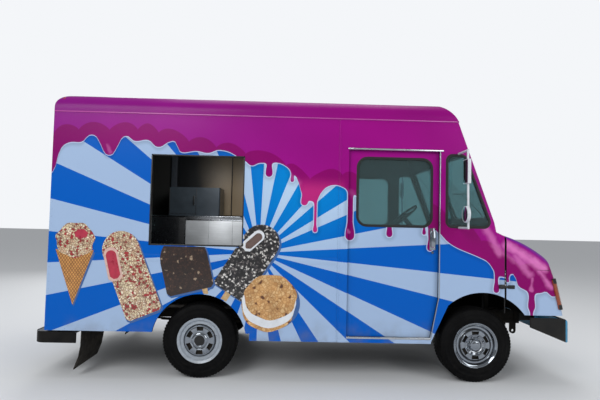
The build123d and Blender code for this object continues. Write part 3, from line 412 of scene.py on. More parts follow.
def lens(name, colour, painted_glow):
    """Moulded clear plastic over a reflector, with fine ribs and a faint painted emission for the light it catches."""
    f = Finish(name)
    x, y, z = f.split(f.place)
    relief = f.times(f.maths("SINE", f.times(y, 700.0)), f.maths("SINE", f.times(z, 500.0)))
    return f.set(Base_Color=f.toned(colour, f.ramp(relief, -1.0, 1.0, 0.7, 1.1)), Normal=f.bump(0.5, 0.0006, relief),
                 Roughness=0.12, Coat_Weight=0.8, Emission_Color=colour, Emission_Strength=painted_glow)


def tyre_rubber():
    """Worn black rubber, darkened further as painted shade, paler and dustier on the tread and at the foot of the
    sidewall.
    """
    f = Finish("tyre_rubber")
    dust = f.noise(24.0, 6.0)
    share = f.times(f.speckle(dust, 0.0, 0.5, 0.45, 0.75), f.ramp(f.split(f.place)[2], 0.0, 0.5, 1.0, 0.35))
    return f.set(Base_Color=f.mixed(share, "030304", "171614"), Roughness=f.speckle(f.noise(5.0, 3.0), 0.55, 0.85),
                 Specular_IOR_Level=0.12, Normal=f.bump(0.25, 0.0006, dust))


# Outer skin: deep glossy colour that the print carries, black or grey where it ends
VINYL = printed_vinyl("printed_vinyl", "2B2B2A", (0, 0, 1.4), (0.4, 1, 0.6), 0.32, bare_nose=True)
HOOD_VINYL = printed_vinyl("printed_vinyl_hood", "0E0E0F", (1.5, 0, 0.7), (1, 1, 1), 0.2)
# Clear with a green cast, so that the cab shows through
GLASS = window_glass("toughened_glass", "A4CBCF", 0.01)
# Under the body: flat black paints and rubbers under a dust that greys them, rough iron, dull steel. The chassis, arch
# and tyre blacks are darker and duller than real paint and rubber: painted shade under the body and in the arches
CHASSIS = plain("chassis_black_painted_shade", "050506", 0.85, grain=(14.0, 0.2), dust=0.15, shine=0.12)
ARCH = plain("arch_undercoat_painted_shade", "030303", 0.95, grain=(60.0, 0.2), bump=0.002, shine=0.05)
CASTING = plain("cast_iron", "24221F", 0.75, 0.4, (90.0, 0.15), bump=0.002, dust=0.35)
PIPE = plain("exhaust_steel", "5E5A55", 0.5, 0.8, (20.0, 0.25), dust=0.4)
FLAP = plain("flap_rubber", "08080A", 0.85, 0.0, (30.0, 0.1), dust=0.22, shine=0.2)
GASKET = plain("window_gasket", "08090A", 0.6, 0.0, (120.0, 0.05))
TYRE = tyre_rubber()
# Bright work: mirror-like chrome, soft zinc, silver paint with a thin gloss
CHROME = plain("chrome_plate", "8E949B", 0.10, 1.0, (90.0, 0.03))
STEEL = plain("zinc_steel", "A9ADB2", 0.3, 1.0, (70.0, 0.06))
RIM_PAINT = plain("rim_enamel", "9CA5AF", 0.38, 0.1, (30.0, 0.08), 0.15, dust=0.22, dust_top=0.7)
# Sheets and bars with a grain that streaks their highlights, and two painted strips: a dark grey post, partly painted
# shade, and a moulding in pink paler than the print, a painted highlight along its top
TRIM = brushed("trim_aluminium", "C3C7CC", 0.25, 0)
POST = brushed("post_aluminium", "AEB3B9", 0.3, 2)
# The rear post's dark grey is partly its own paint and partly painted shade of the dim load space
WALL_POST_SHADE = plain("wall_post_painted_shade", "3A3F46", 0.7, grain=(20.0, 0.1), shine=0.2)
MOULDING_HIGHLIGHT = plain("moulding_vinyl_painted_highlight", "A83E90", 0.35, grain=(8.0, 0.08), coat=0.2)
STAINLESS = brushed("stainless_sheet", "C2C6CB", 0.24, 0)
COUNTER = brushed("counter_sheet", "D4D8DC", 0.35, 0, 0.35)
TREAD = chequered("tread_plate", "9FA3A7", 0.3)
DECK = chequered("deck_plate", "8A8E92", 0.35, undercoat=True)
# Inside: dark satin walls and enamels, grained vinyls, and dials with pale marks; the liner's dark is partly its own
# colour and partly painted shade of the dim load space
LINER = plain("wall_liner_painted_shade", "1C1F24", 0.55, 0.0, (5.0, 0.1))
# Beige wall panel with painted shade, deep towards the rear
PANEL = shade_painted_sheet("beige_panel", "8E7C62", "0D0F13", -1.52, -1.06)
# Black enamel of the cabinet door: a painted shadow over the left part of the counter
CABINET_SHADOW = plain("painted_shadow_enamel", "17191C", 0.28, 0.0, (20.0, 0.05), 0.4)
COOLER = plain("cooler_enamel", "39424A", 0.35, 0.3, (12.0, 0.06), 0.3)
DASH = plain("dash_vinyl", "1C2024", 0.6, 0.0, (220.0, 0.1), bump=0.0006)
SEAT = plain("seat_vinyl", "1A1B1E", 0.48, 0.0, (300.0, 0.08), bump=0.0005)
DIAL = plain("dial_face", "0A0B0C", 0.3, 0.0, (60.0, 0.05), 0.5)
NEEDLE = plain("needle_paint", "D8D9D6", 0.5, 0.0, (60.0, 0.03))
# Front and rear: black bumpers, the front one with a blue face that is a painted reflection of the sky, pale tubes, and
# lenses with faint painted emission for the light they catch
BUMPER_PAINT = plain("bumper_enamel_painted_sky_face", "040507", 0.4, 0.0, (12.0, 0.08), dust=0.10, shine=0.25, face=("3A88AE", 2.575))
BUMPER_BLACK = plain("bumper_black", "040507", 0.5, 0.0, (12.0, 0.12), dust=0.07, shine=0.12)
PALE_TUBE = plain("mirror_enamel", "C9CED3", 0.3, 0.1, (30.0, 0.04), 0.3)
BLACK = plain("black_plastic", "0C0D0E", 0.45, 0.0, (80.0, 0.08))
AMBER = lens("amber_lens", "8E3F18", 0.02)
RED = lens("red_lens", "8E1218", 0.03)
CLEAR = lens("lamp_glass", "A9B2BA", 0.0)
# Prints of ices, duller than the film round them. columns of a crumb coat: share where a colour starts, colour
STRAW_COAT = crumbed("strawberry_crumb", 48.0, "6B3A2A",
                     ((0.0, "D9C9A6"), (0.38, "C9A98A"), (0.62, "A3202C"), (0.80, "E6D8BE")))
DARK_COAT = crumbed("dark_crumb", 52.0, "0C0B0C",
                    ((0.0, "1B1A1C"), (0.40, "3A3638"), (0.66, "C9C6C2"), (0.84, "76706E")))
CHOCOLATE = crumbed("chocolate_coat", 42.0, "1C100C",
                    ((0.0, "2B1A14"), (0.50, "38231A"), (0.90, "8E7A66"), (0.95, "4A3024")))
BISCUIT = crumbed("biscuit_print", 34.0, "A87742",
                  ((0.0, "C79A62"), (0.50, "D3AD78"), (0.85, "5A3018"), (0.94, "B8864E")))
CREAM = plain("cream_print", "CFD3D8", 0.3, 0.0, (14.0, 0.06))
PINK_CREAM = plain("pink_print", "A82840", 0.3, 0.0, (22.0, 0.1))
RIND = plain("rind_print", "C9A79C", 0.3, 0.0, (30.0, 0.08))
COCOA = plain("cocoa_print", "5F4C46", 0.3, 0.0, (30.0, 0.1))
STICK = plain("stick_print", "B99A6E", 0.35, 0.0, (50.0, 0.12))
WAFER = waffled("wafer_print")
SHADOW = plain("shadow_print", "3F5F92", 0.3, 0.0, (30.0, 0.03), shine=0.2)

# columns: material, the record's slot for it, which this script does not use, CAD nodes that wear it.
# None stands where there is no slot, and * for both sides.
for material, slot, names in (
    (VINYL, None, "cargo_side_* cab_side_* roof rear_frame front_panel cab_door_* rear_door_*"),
    (HOOD_VINYL, None, "hood_shell"),
    (GLASS, "clear_glass", "cab_glass cab_door_*_glass rear_door_*_glass"),
    (CHASSIS, "chassis_black", "ladder_frame body_mounts leaf_springs front_axle rear_axle fuel_tank tie_rod"
                               " seat_frame"),
    (ARCH, "chassis_black", "front_wheelhouses hood_shields"),
    (CASTING, None, "engine_block knuckle_*"),
    (PIPE, "exhaust_steel", "exhaust"),
    (FLAP, "flap_rubber", "mud_flaps"),
    (GASKET, "flap_rubber", ""),
    (TYRE, "tyre_rubber", ""),
    (CHROME, "wheel_chrome", "wheel_front_*"),
    (STEEL, "stainless", ""),
    (RIM_PAINT, "wheel_silver", "wheel_rear_*"),
    (TRIM, "deck_aluminium", "door_tracks"),
    (POST, "deck_aluminium", ""),
    (WALL_POST_SHADE, "inner_panel", ""),
    (MOULDING_HIGHLIGHT, "wrap_paint", ""),
    (STAINLESS, "stainless", "service_counter"),
    (COUNTER, "stainless", ""),
    (TREAD, "deck_aluminium", "step_well_*"),
    (DECK, "deck_aluminium", "floor"),
    (LINER, "inner_panel", "bulkhead"),
    (PANEL, "inner_panel", ""),
    (CABINET_SHADOW, "inner_panel", ""),
    (COOLER, None, "countertop_cooler"),
    (DASH, "dash_plastic", "dashboard steering_wheel"),
    (SEAT, None, ""),
    (DIAL, "dash_plastic", ""),
    (BUMPER_PAINT, "bumper_paint", "front_bumper"),
    (BUMPER_BLACK, "bumper_black", "rear_bumper"),
    (PALE_TUBE, "mirror_housing", "mirrors"),
    (BLACK, "grille_black", "grille"),
    (AMBER, None, "corner_lamps"),
    (RED, None, "rear_lamps"),
    (CLEAR, "lamp_glass", "headlamps"),
):
    for name in names.split():
        for side in ("right", "left") if "*" in name else ("",):
            worn = NODES[name.replace("*", side)].data.materials
            worn.clear()
            worn.append(material)


# Building forms
def made(name, form, material, body="truck", angle=35):
    """Makes a finished form into a piece that rides with a body."""
    bmesh.ops.recalc_face_normals(form, faces=form.faces)
    mesh = bpy.data.meshes.new(name)
    form.to_mesh(mesh)
    form.free()
    mesh.materials.append(material)
    mesh.shade_smooth()
    mesh.set_sharp_from_angle(angle=radians(angle))
    piece = bpy.data.objects.new(name, mesh)
    bpy.context.scene.collection.objects.link(piece)
    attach(piece, body)
    return piece


def block(form, one, two, soft=0.002, turn=None):
    """A box between two opposite corners with softened edges, turned about its middle."""
    low, high = Vector(map(min, one, two)), Vector(map(max, one, two))
    size = Matrix.Diagonal((*(high - low), 1))
    place = Matrix.Translation((low + high) / 2) @ (turn or Matrix.Identity(4)) @ size
    corners = bmesh.ops.create_cube(form, size=1, matrix=place)["verts"]
    if soft:
        edges = list({edge for corner in corners for edge in corner.link_edges})
        bmesh.ops.bevel(form, geom=edges, offset=soft, segments=2, profile=0.5, affect="EDGES",
                        clamp_overlap=True, material=-1)


def sweep(form, path, section, out, closed=False):
    """Runs a section along a path: its first axis points along out, the second across the path."""
    rings = []
    count = len(path)
    out = Vector(out)
    for number, point in enumerate(path):
        before = path[number - 1] if closed or number else point
        after = path[(number + 1) % count] if closed or number < count - 1 else point
        ahead = (Vector(after) - Vector(before)).normalized()
        lift = (out - ahead * out.dot(ahead)).normalized()
        aside = ahead.cross(lift)
        rings.append([form.verts.new(Vector(point) + lift * h + aside * w) for h, w in section])
    pairs = list(zip(rings, rings[1:]))
    if closed:
        pairs.append((rings[-1], rings[0]))
    else:
        form.faces.new(rings[0][::-1])
        form.faces.new(rings[-1])
    for one, two in pairs:
        band(form, one, two)


def band(form, one, two):
    """Joins two closed rings of vertices with faces."""
    for k in range(len(one)):
        m = (k + 1) % len(one)
        form.faces.new((one[k], one[m], two[m], two[k]))


def turned(form, centre, axis, profile, steps=48):
    """Turns a profile of (radius, reach along the axis) round an axis."""
    centre, axis = Vector(centre), Vector(axis).normalized()
    stand = axis.to_track_quat("Z", "Y").to_matrix()
    rings = []
    for k in range(steps):
        spoke = stand @ Vector((cos(2 * pi * k / steps), sin(2 * pi * k / steps), 0))
        rings.append([form.verts.new(centre + spoke * r + axis * h) for r, h in profile])
    verts = [vert for ring in rings for vert in ring]
    for one, two in zip(rings, rings[1:] + rings[:1]):
        for k in range(len(profile) - 1):
            form.faces.new((one[k], two[k], two[k + 1], one[k + 1]))
    bmesh.ops.remove_doubles(form, verts=verts, dist=1e-6)


def slab(form, outline, place, thick):
    """A flat outline made into a thin plate: place turns each of its points into a point in space."""
    near = [form.verts.new(place(x, z)) for x, z in outline]
    far = [form.verts.new(place(x, z) + thick) for x, z in outline]
    form.faces.new(near)
    form.faces.new(far[::-1])
    band(form, near, far)


def circle(radius, steps=12):
    return [(radius * cos(2 * pi * k / steps), radius * sin(2 * pi * k / steps)) for k in range(steps)]


def bead(height, half):
    """Section of a flat-backed moulding."""
    return [(0, -half), (0, half), (height * 0.6, half), (height, half * 0.6), (height, -half * 0.6),
            (height * 0.6, -half)]


def rounded(corners, radius, steps=7):
    """A polygon of flat corners with an arc at each, as a closed list of points."""
    points = []
    for number, corner in enumerate(corners):
        corner = Vector(corner)
        back = (Vector(corners[number - 1]) - corner).normalized()
        ahead = (Vector(corners[(number + 1) % len(corners)]) - corner).normalized()
        half = back.angle(ahead) / 2
        centre = corner + (back + ahead).normalized() * (radius / sin(half))
        start = corner + back * (radius / tan(half)) - centre
        end = corner + ahead * (radius / tan(half)) - centre
        swing = pi - 2 * half
        for k in range(steps + 1):
            share = k / steps
            points.append(centre + (start * sin((1 - share) * swing) + end * sin(share * swing)) / sin(swing))
    return points


def oblong(x_span, z_span, radius):
    (x0, x1), (z0, z1) = x_span, z_span
    return rounded(((x0, z0), (x1, z0), (x1, z1), (x0, z1)), radius)


def blocks(name, material, boxes, body="truck"):
    """One piece of boxes. columns: two corners, softening of the edges."""
    form = bmesh.new()
    for one, two, soft in boxes:
        block(form, one, two, soft)
    made(name, form, material, body)


def swept(name, material, runs, out, body="truck", closed=False):
    """One piece of swept runs. columns: path, section."""
    form = bmesh.new()
    for path, section in runs:
        sweep(form, path, section, out, closed)
    made(name, form, material, body)


def turning(name, material, centre, axis, profile, steps, body="truck", angle=35):
    """One turned piece."""
    form = bmesh.new()
    turned(form, centre, axis, profile, steps)
    made(name, form, material, body, angle)


def on_side(sign, proud=0.0):
    """Points of the body side, a little proud of it."""
    return lambda x, z: Vector((x, sign * (HALF_WIDTH + proud), z))


SCREEN_FOOT = Vector((1.848, 0, 1.585))
SCREEN_TOP = Vector((1.482, 0, 2.580))
SCREEN_OUT = Vector((SCREEN_TOP.z - SCREEN_FOOT.z, 0, SCREEN_FOOT.x - SCREEN_TOP.x)).normalized()


def on_screen(y, z, proud=0.0):
    """A point of the windscreen frame's outside, lifted off it."""
    share = (z - SCREEN_FOOT.z) / (SCREEN_TOP.z - SCREEN_FOOT.z)
    return Vector((SCREEN_FOOT.lerp(SCREEN_TOP, share).x, y, z)) + SCREEN_OUT * proud


# The front of the hood leans back by this much for each metre of height, and more above its brow
NOSE_LEAN, BROW_LEAN, BROW_Z = 0.235, 0.362, 1.03
NOSE_OUT = Vector((1, 0, NOSE_LEAN)).normalized()


def nose_x(z):
    """Where the front of the hood stands at a height."""
    return 2.562 - NOSE_LEAN * (min(z, BROW_Z) - 0.682) - BROW_LEAN * max(0.0, z - BROW_Z)


# Windows: rubber gaskets round the panes
def gasket(name, path, out, body, height=0.005):
    swept(name, GASKET, [(path, bead(height, 0.013))], out, body, closed=True)


QUARTER = rounded(((1.372, 1.535), (1.825, 1.535), (1.551, 2.246), (1.372, 2.246)), 0.055)
for side, sign in SIDES:
    out = (0, sign, 0)
    gasket(f"quarter_gasket_{side}", [on_side(sign, -0.001)(x, z) for x, z in QUARTER], out, "truck")
    pane = oblong((0.488, 1.230), (1.529, 2.202), 0.095)
    gasket(f"door_gasket_{side}", [Vector((x, sign * (DOOR_FACE - 0.001), z)) for x, z in pane], out,
           f"cab_door_{side}", height=0.0045)
    pane = oblong((-0.47, 0.47), (1.625, 2.265), 0.06)
    gasket(f"screen_gasket_{side}", [on_screen(y + sign * 0.515, z) for y, z in pane], SCREEN_OUT, "truck",
           height=0.007)
    pane = oblong((-0.24, 0.24), (1.59, 2.11), 0.06)
    gasket(f"rear_gasket_{side}", [Vector((REAR_X - 0.011, y + sign * 0.380, z)) for y, z in pane], (-1, 0, 0),
           f"rear_door_{side}")

# Trim of the body sides. columns: name, material, x from, to, depth from, to, z from, to, softening
for name, material, x0, x1, d0, d1, z0, z1, soft in (
    ("drip_moulding", MOULDING_HIGHLIGHT, -2.512, 1.478, -0.001, 0.006, 2.576, 2.588, 0.003),
    ("belt_rib", VINYL, -2.511, 0.301, -0.001, 0.0012, 1.130, 1.205, 0.0015),
    ("door_rail", TRIM, 0.386, 1.334, -0.001, 0.012, 2.279, 2.294, 0.003),
    ("seam_cover", VINYL, 0.296, 0.314, -0.001, 0.0022, 0.40, 2.574, 0.001),
    ("door_sill", TRIM, 0.394, 1.222, -0.024, 0.003, 0.425, 0.4445, 0.002),
    ("door_edge_trim", POST, 1.2985, 1.3075, -0.001, 0.004, 0.83, 2.276, 0.001),
):
    for side, sign in SIDES:
        blocks(f"{name}_{side}", material, ((on_side(sign, d0)(x0, z0), on_side(sign, d1)(x1, z1), soft),))
for side, sign in SIDES:
    skin = on_side(sign, -0.001)
    swept(f"door_edge_foot_{side}", POST, [([skin(1.2995, 0.832), skin(1.2215, 0.430)], bead(0.005, 0.0045))],
          (0, sign, 0))


# Rivets along the seams
def rivets(name, places, out):
    """Domes 9 mm across."""
    form = bmesh.new()
    for place in places:
        turned(form, place, out, ((0.0045, -0.0005), (0.0036, 0.00126), (0.0, 0.0018)), 8)
    made(name, form, VINYL)


# columns: x and z of the first rivet, steps in x and z, rivets
RIVET_ROWS = (
    (-2.495, 0.50, 0.0, 0.07, 30), (0.288, 0.42, 0.0, 0.07, 31), (0.322, 0.42, 0.0, 0.07, 31),
    (-2.42, 2.562, 0.1, 0.0, 39), (-2.42, 0.47, 0.1, 0.0, 8), (-0.50, 0.402, 0.1, 0.0, 9),
)
for side, sign in SIDES:
    spots = [on_side(sign)(x + dx * k, z + dz * k) for x, z, dx, dz, count in RIVET_ROWS for k in range(count)]
    rivets(f"side_rivets_{side}", spots, (0, sign, 0))
rivets("rear_rivets", [(REAR_X, y, 0.52 + 0.08 * k) for y in (-1.045, 1.045) for k in range(25)], (-1, 0, 0))

# Straps that hold the hood down over the gap at its back edge, the groove over its lamp, and its seal
for side, sign in SIDES:
    skin, top = on_side(sign, 0.002), on_side(sign, 0.011)
    foot = on_side(sign, 0.0 if side == "left" else 0.002)
    blocks(f"hood_strap_{side}", GASKET, ((skin(1.985, 0.938), top(2.052, 0.974), 0.005),), "hood")
    blocks(f"strap_anchor_{side}", BLACK, ((foot(1.893, 0.936), top(1.951, 0.978), 0.004),
                                           (skin(1.944, 0.944), top(1.984, 0.968), 0.002)))
    blocks(f"brow_groove_{side}", GASKET,
           ((on_side(sign, -0.003)(2.275, 1.1245), on_side(sign, 0.0012)(2.402, 1.1275), 0.0005),), "hood")
    path = [Vector((1.956, sign * 1.082, z)) for z in (0.70, 1.0, 1.2, 1.40)]
    swept(f"hood_seal_{side}", GASKET, [(path, circle(0.005, 8))], (1, 0, 0))

# Pull handles of the cab doors, in chrome over the bars of the solids
for side, sign in SIDES:
    blocks(f"pull_handle_{side}", CHROME, (((1.2225, sign * 1.0695, 1.3265), (1.2635, sign * 1.0845, 1.4945), 0.006),
                                           ((1.214, sign * 1.0545, 1.300), (1.272, sign * 1.058, 1.515), 0.0015)),
           f"cab_door_{side}")
    turning(f"door_lock_{side}", CHROME, (1.243, sign * 1.0575, 1.275), (0, sign, 0),
            ((0.0, 0.004), (0.010, 0.004), (0.013, 0.0), (0.013, -0.003)), 24, f"cab_door_{side}")

# Service window: trim of the opening and its ledge
(X0, X1), (Z0, Z1) = WINDOW_X, WINDOW_Z
blocks("window_reveal", BLACK, [((x0, -1.0895, z0), (x1, -1.040, z1), 0.0015) for x0, x1, z0, z1 in (
    (X0, X0 + 0.012, Z0, Z1), (X1 - 0.012, X1, Z0, Z1), (X0, X1, Z1 - 0.012, Z1), (X0, X1, Z0, Z0 + 0.014))])
blocks("window_ledge", STAINLESS, (((-1.545, -1.040, 1.270), (-0.640, -0.930, 1.286), 0.003),))

# What shows through the service window
blocks("wall_post_rear", WALL_POST_SHADE, (((-1.855, 1.010, 0.75), (-1.775, 1.062, 2.55), 0.004),))
blocks("wall_panel", PANEL, (((-1.770, 1.049, 1.62), (-1.012, 1.062, 2.45), 0.004),
                             ((-0.998, 1.045, 1.62), (-0.560, 1.062, 2.45), 0.004)))
# The black cabinet door left of the counter front is a painted shadow where shade falls on the counter
blocks("cabinet_door_painted_shadow", CABINET_SHADOW, (((-1.95, 0.336, 0.74), (-1.50, 0.3495, 1.575), 0.006),))
blocks("counter_edge", STAINLESS,
       [((-1.985, 0.334, 1.5905), (-0.565, 0.36, 1.598), 0.002),
        ((-1.495, 0.342, 1.545), (-0.565, 0.3495, 1.555), 0.002)]
       + [((x - 0.0015, 0.3385, 0.76), (x + 0.0015, 0.3502, 1.54), 0) for x in (-1.20, -0.90)])
blocks("counter_front", COUNTER, (((-1.492, 0.340, 0.76), (-0.566, 0.3495, 1.540), 0.003),))
# The joints round the cooler's door and its handle
blocks("cooler_lines", BLACK, (
    ((-1.745, 0.470, 1.62), (-1.735, 0.4798, 1.95), 0.002),
    ((-1.40, 0.474, 1.61), (-1.394, 0.4798, 1.96), 0.001),
    ((-1.43, 0.452, 1.74), (-1.415, 0.466, 1.86), 0.003),
    ((-1.43, 0.464, 1.745), (-1.415, 0.480, 1.755), 0.001),
    ((-1.43, 0.464, 1.845), (-1.415, 0.480, 1.855), 0.001),
))
blocks("cooler_vents", BLACK,
       [((-1.72 + 0.055 * k, 0.474, 1.622), (-1.68 + 0.055 * k, 0.4798, 1.628), 0) for k in range(6)])

# Wheels
# Half of the tyre's section. columns: radius, distance from its middle plane
TYRE_HALF = (
    (0.2065, 0.096), (0.213, 0.103), (0.226, 0.107), (0.228, 0.1085), (0.231, 0.107), (0.262, 0.1115), (0.264, 0.1118),
    (0.270, 0.1118), (0.272, 0.1108), (0.300, 0.1100), (0.302, 0.1108), (0.306, 0.1106), (0.308, 0.1090),
    (0.328, 0.1040), (0.343, 0.0975), (0.354, 0.0900), (0.3605, 0.0800), (0.3625, 0.0700), (0.3640, 0.0545),
    (0.3560, 0.0535), (0.3560, 0.0455), (0.3645, 0.0445), (0.3650, 0.0190), (0.3570, 0.0180), (0.3570, 0.0100),
    (0.3655, 0.0090), (0.3655, 0.0),
)
TYRE_SECTION = list(TYRE_HALF) + [(r, -w) for r, w in TYRE_HALF[-2::-1]]
LUGS, LUG_HALF = 72, Vector((0.0062, 0.0125, 0.0095))
NUTS, NUT_RING = 8, 0.083


def wheel_piece(name, place, side, sign, material, profile):
    """Turned piece on a wheel; the profile's reach is measured outwards from the wheel's outer plane."""
    turning(f"{name}_{place}_{side}", material, (dict(AXLES)[place], sign * RIM_Y, AXLE_Z), (0, sign, 0), profile, 64,
            f"wheel_{place}_{side}", 30)


for place, x in AXLES:
    for side, sign in SIDES:
        form = bmesh.new()
        turned(form, (x, sign * WHEEL_Y, AXLE_Z), (0, 1, 0), TYRE_SECTION, 96)
        # Lugs round both shoulders
        for k in range(LUGS):
            angle = 2 * pi * (k + 0.5) / LUGS
            spoke = Vector((cos(angle), 0, sin(angle)))
            spin = Matrix.Rotation(-angle, 4, "Y")
            for end in (-1, 1):
                middle = Vector((x, sign * WHEEL_Y + end * 0.0865, AXLE_Z)) + spoke * 0.3530
                block(form, middle - LUG_HALF, middle + LUG_HALF, 0, spin @ Matrix.Rotation(end * 0.62, 4, "Z"))
        tyre = made(f"tyre_casing_{place}_{side}", form, TYRE, f"wheel_{place}_{side}", 28)
        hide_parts(f"tyre_{place}_{side}")
        # Wheel nuts, at the front only, and the valve
        form = bmesh.new()
        for k in range(NUTS if place == "front" else 0):
            angle = 2 * pi * (k + 0.5) / NUTS
            spot = Vector((x + NUT_RING * cos(angle), sign * (RIM_Y - 0.020), AXLE_Z + NUT_RING * sin(angle)))
            turned(form, spot, (0, sign, 0), ((0.0, 0.018), (0.008, 0.018), (0.0115, 0.014), (0.0115, -0.004)), 6)
        turned(form, (x + 0.158, sign * (RIM_Y - 0.040), AXLE_Z + 0.05), (0.2, sign, 0.06),
               ((0.0, 0.030), (0.004, 0.030), (0.004, 0.0), (0.006, -0.004)), 10)
        made(f"wheel_nuts_{place}_{side}", form, CHROME, f"wheel_{place}_{side}", 25)
        # Face of the brake drum, dark behind the slots, and the groove round the disc
        wheel_piece("brake_drum", place, side, sign, CASTING,
                    ((0.072, -0.0560), (0.072, -0.0530), (0.160, -0.0530), (0.166, -0.0545), (0.166, -0.0800)))
        wheel_piece("disc_groove", place, side, sign, GASKET,
                    ((0.1480, -0.0175), (0.1492, -0.0172), (0.1580, -0.0258), (0.1590, -0.0275)))

# Front: chrome trim ring and a domed cap. Rear: bright ring round a plain dark centre
WHEEL_PARTS = (
    ("trim_ring", "front", CHROME, ((0.2185, -0.006), (0.2175, -0.003), (0.213, -0.0028), (0.203, -0.010),
                                    (0.197, -0.013), (0.186, -0.030), (0.182, -0.0335))),
    ("hub_cap", "front", CHROME, ((0.0, -0.0005), (0.020, -0.001), (0.038, -0.004), (0.052, -0.011), (0.061, -0.021),
                                  (0.064, -0.024))),
    ("hub_ring", "front", STEEL, ((0.0665, -0.0195), (0.066, -0.016), (0.0725, -0.012), (0.074, -0.016))),
    ("cap_ring", "front", CHROME, ((0.0945, -0.0122), (0.0965, -0.0088), (0.104, -0.0078), (0.1075, -0.0122))),
    ("hub_ring", "rear", CHROME, ((0.051, -0.0016), (0.053, -0.0004), (0.062, -0.0004), (0.071, -0.0040),
                                  (0.077, -0.0100), (0.0775, -0.0165))),
    ("hub_centre", "rear", BLACK, ((0.0, -0.0010), (0.036, -0.0014), (0.0515, -0.0026))),
)
# The spider. columns: radius, reach from the outer plane, half width of the slot there
SPIDER_ROWS = ((0.0775, -0.0112, 0.012), (0.092, -0.0088, 0.0275), (0.112, -0.0078, 0.0325), (0.130, -0.0088, 0.0365),
               (0.1415, -0.0112, 0.0385))
SPOKES, SPOKE_STEPS = 6, 8
for side, sign in SIDES:
    for name, place, material, profile in WHEEL_PARTS:
        wheel_piece(name, place, side, sign, material, profile)
    # Chrome spider laid over the slotted disc of the rear wheel
    form = bmesh.new()
    for k in range(SPOKES):
        first = pi / SPOKES + k * 2 * pi / SPOKES
        top, foot = [], []
        for radius, reach, half in SPIDER_ROWS:
            swing = asin(half / radius)
            angles = [first + swing + (pi / 3 - 2 * swing) * n / SPOKE_STEPS for n in range(SPOKE_STEPS + 1)]
            for grid, y in ((top, RIM_Y + reach), (foot, RIM_Y + reach - 0.0012)):
                grid.append([form.verts.new((REAR_AXLE_X + radius * cos(t), sign * y, AXLE_Z + radius * sin(t)))
                             for t in angles])
        for i in range(len(SPIDER_ROWS) - 1):
            for n in range(SPOKE_STEPS):
                form.faces.new((top[i][n], top[i][n + 1], top[i + 1][n + 1], top[i + 1][n]))
                form.faces.new((foot[i][n], foot[i + 1][n], foot[i + 1][n + 1], foot[i][n + 1]))
            for n in (0, -1):
                form.faces.new((top[i][n], top[i + 1][n], foot[i + 1][n], foot[i][n]))
        for i in (0, -1):
            for n in range(SPOKE_STEPS):
                form.faces.new((top[i][n], top[i][n + 1], foot[i][n + 1], foot[i][n]))
    made(f"wheel_spider_rear_{side}", form, CHROME, f"wheel_rear_{side}", 30)
    wheel_piece("spider_edge", "rear", side, sign, CHROME,
                ((0.1355, -0.0118), (0.1365, -0.0085), (0.142, -0.0085), (0.1445, -0.0115), (0.150, -0.018)))

# Mirrors: glass towards the driver and a pale back, for the flat mirror and the round spot mirror
MIRROR_Y, SPOT_Z = 1.340, 1.655
for side, sign in SIDES:
    y = sign * MIRROR_Y
    form = bmesh.new()
    slab(form, oblong((-0.054, 0.054), (1.951, 2.169), 0.012), lambda v, z: Vector((1.4665, v + y, z)),
         Vector((-0.0015, 0, 0)))
    turned(form, (1.4625, y, SPOT_Z), (-1, 0, 0), ((0.0, 0.006), (0.030, 0.0045), (0.060, 0.0012), (0.070, -0.001)), 40)
    made(f"mirror_glass_{side}", form, CHROME)
    form = bmesh.new()
    turned(form, (1.477, y, SPOT_Z), (1, 0, 0),
           ((0.073, -0.017), (0.0778, -0.015), (0.0778, 0.010), (0.060, 0.0155), (0.0, 0.0165)), 40)
    for z in (1.99, 2.13):
        block(form, (1.474, y - 0.018, z - 0.012), (1.500, y + 0.018, z + 0.012), 0.004)
    made(f"mirror_back_{side}", form, PALE_TUBE)

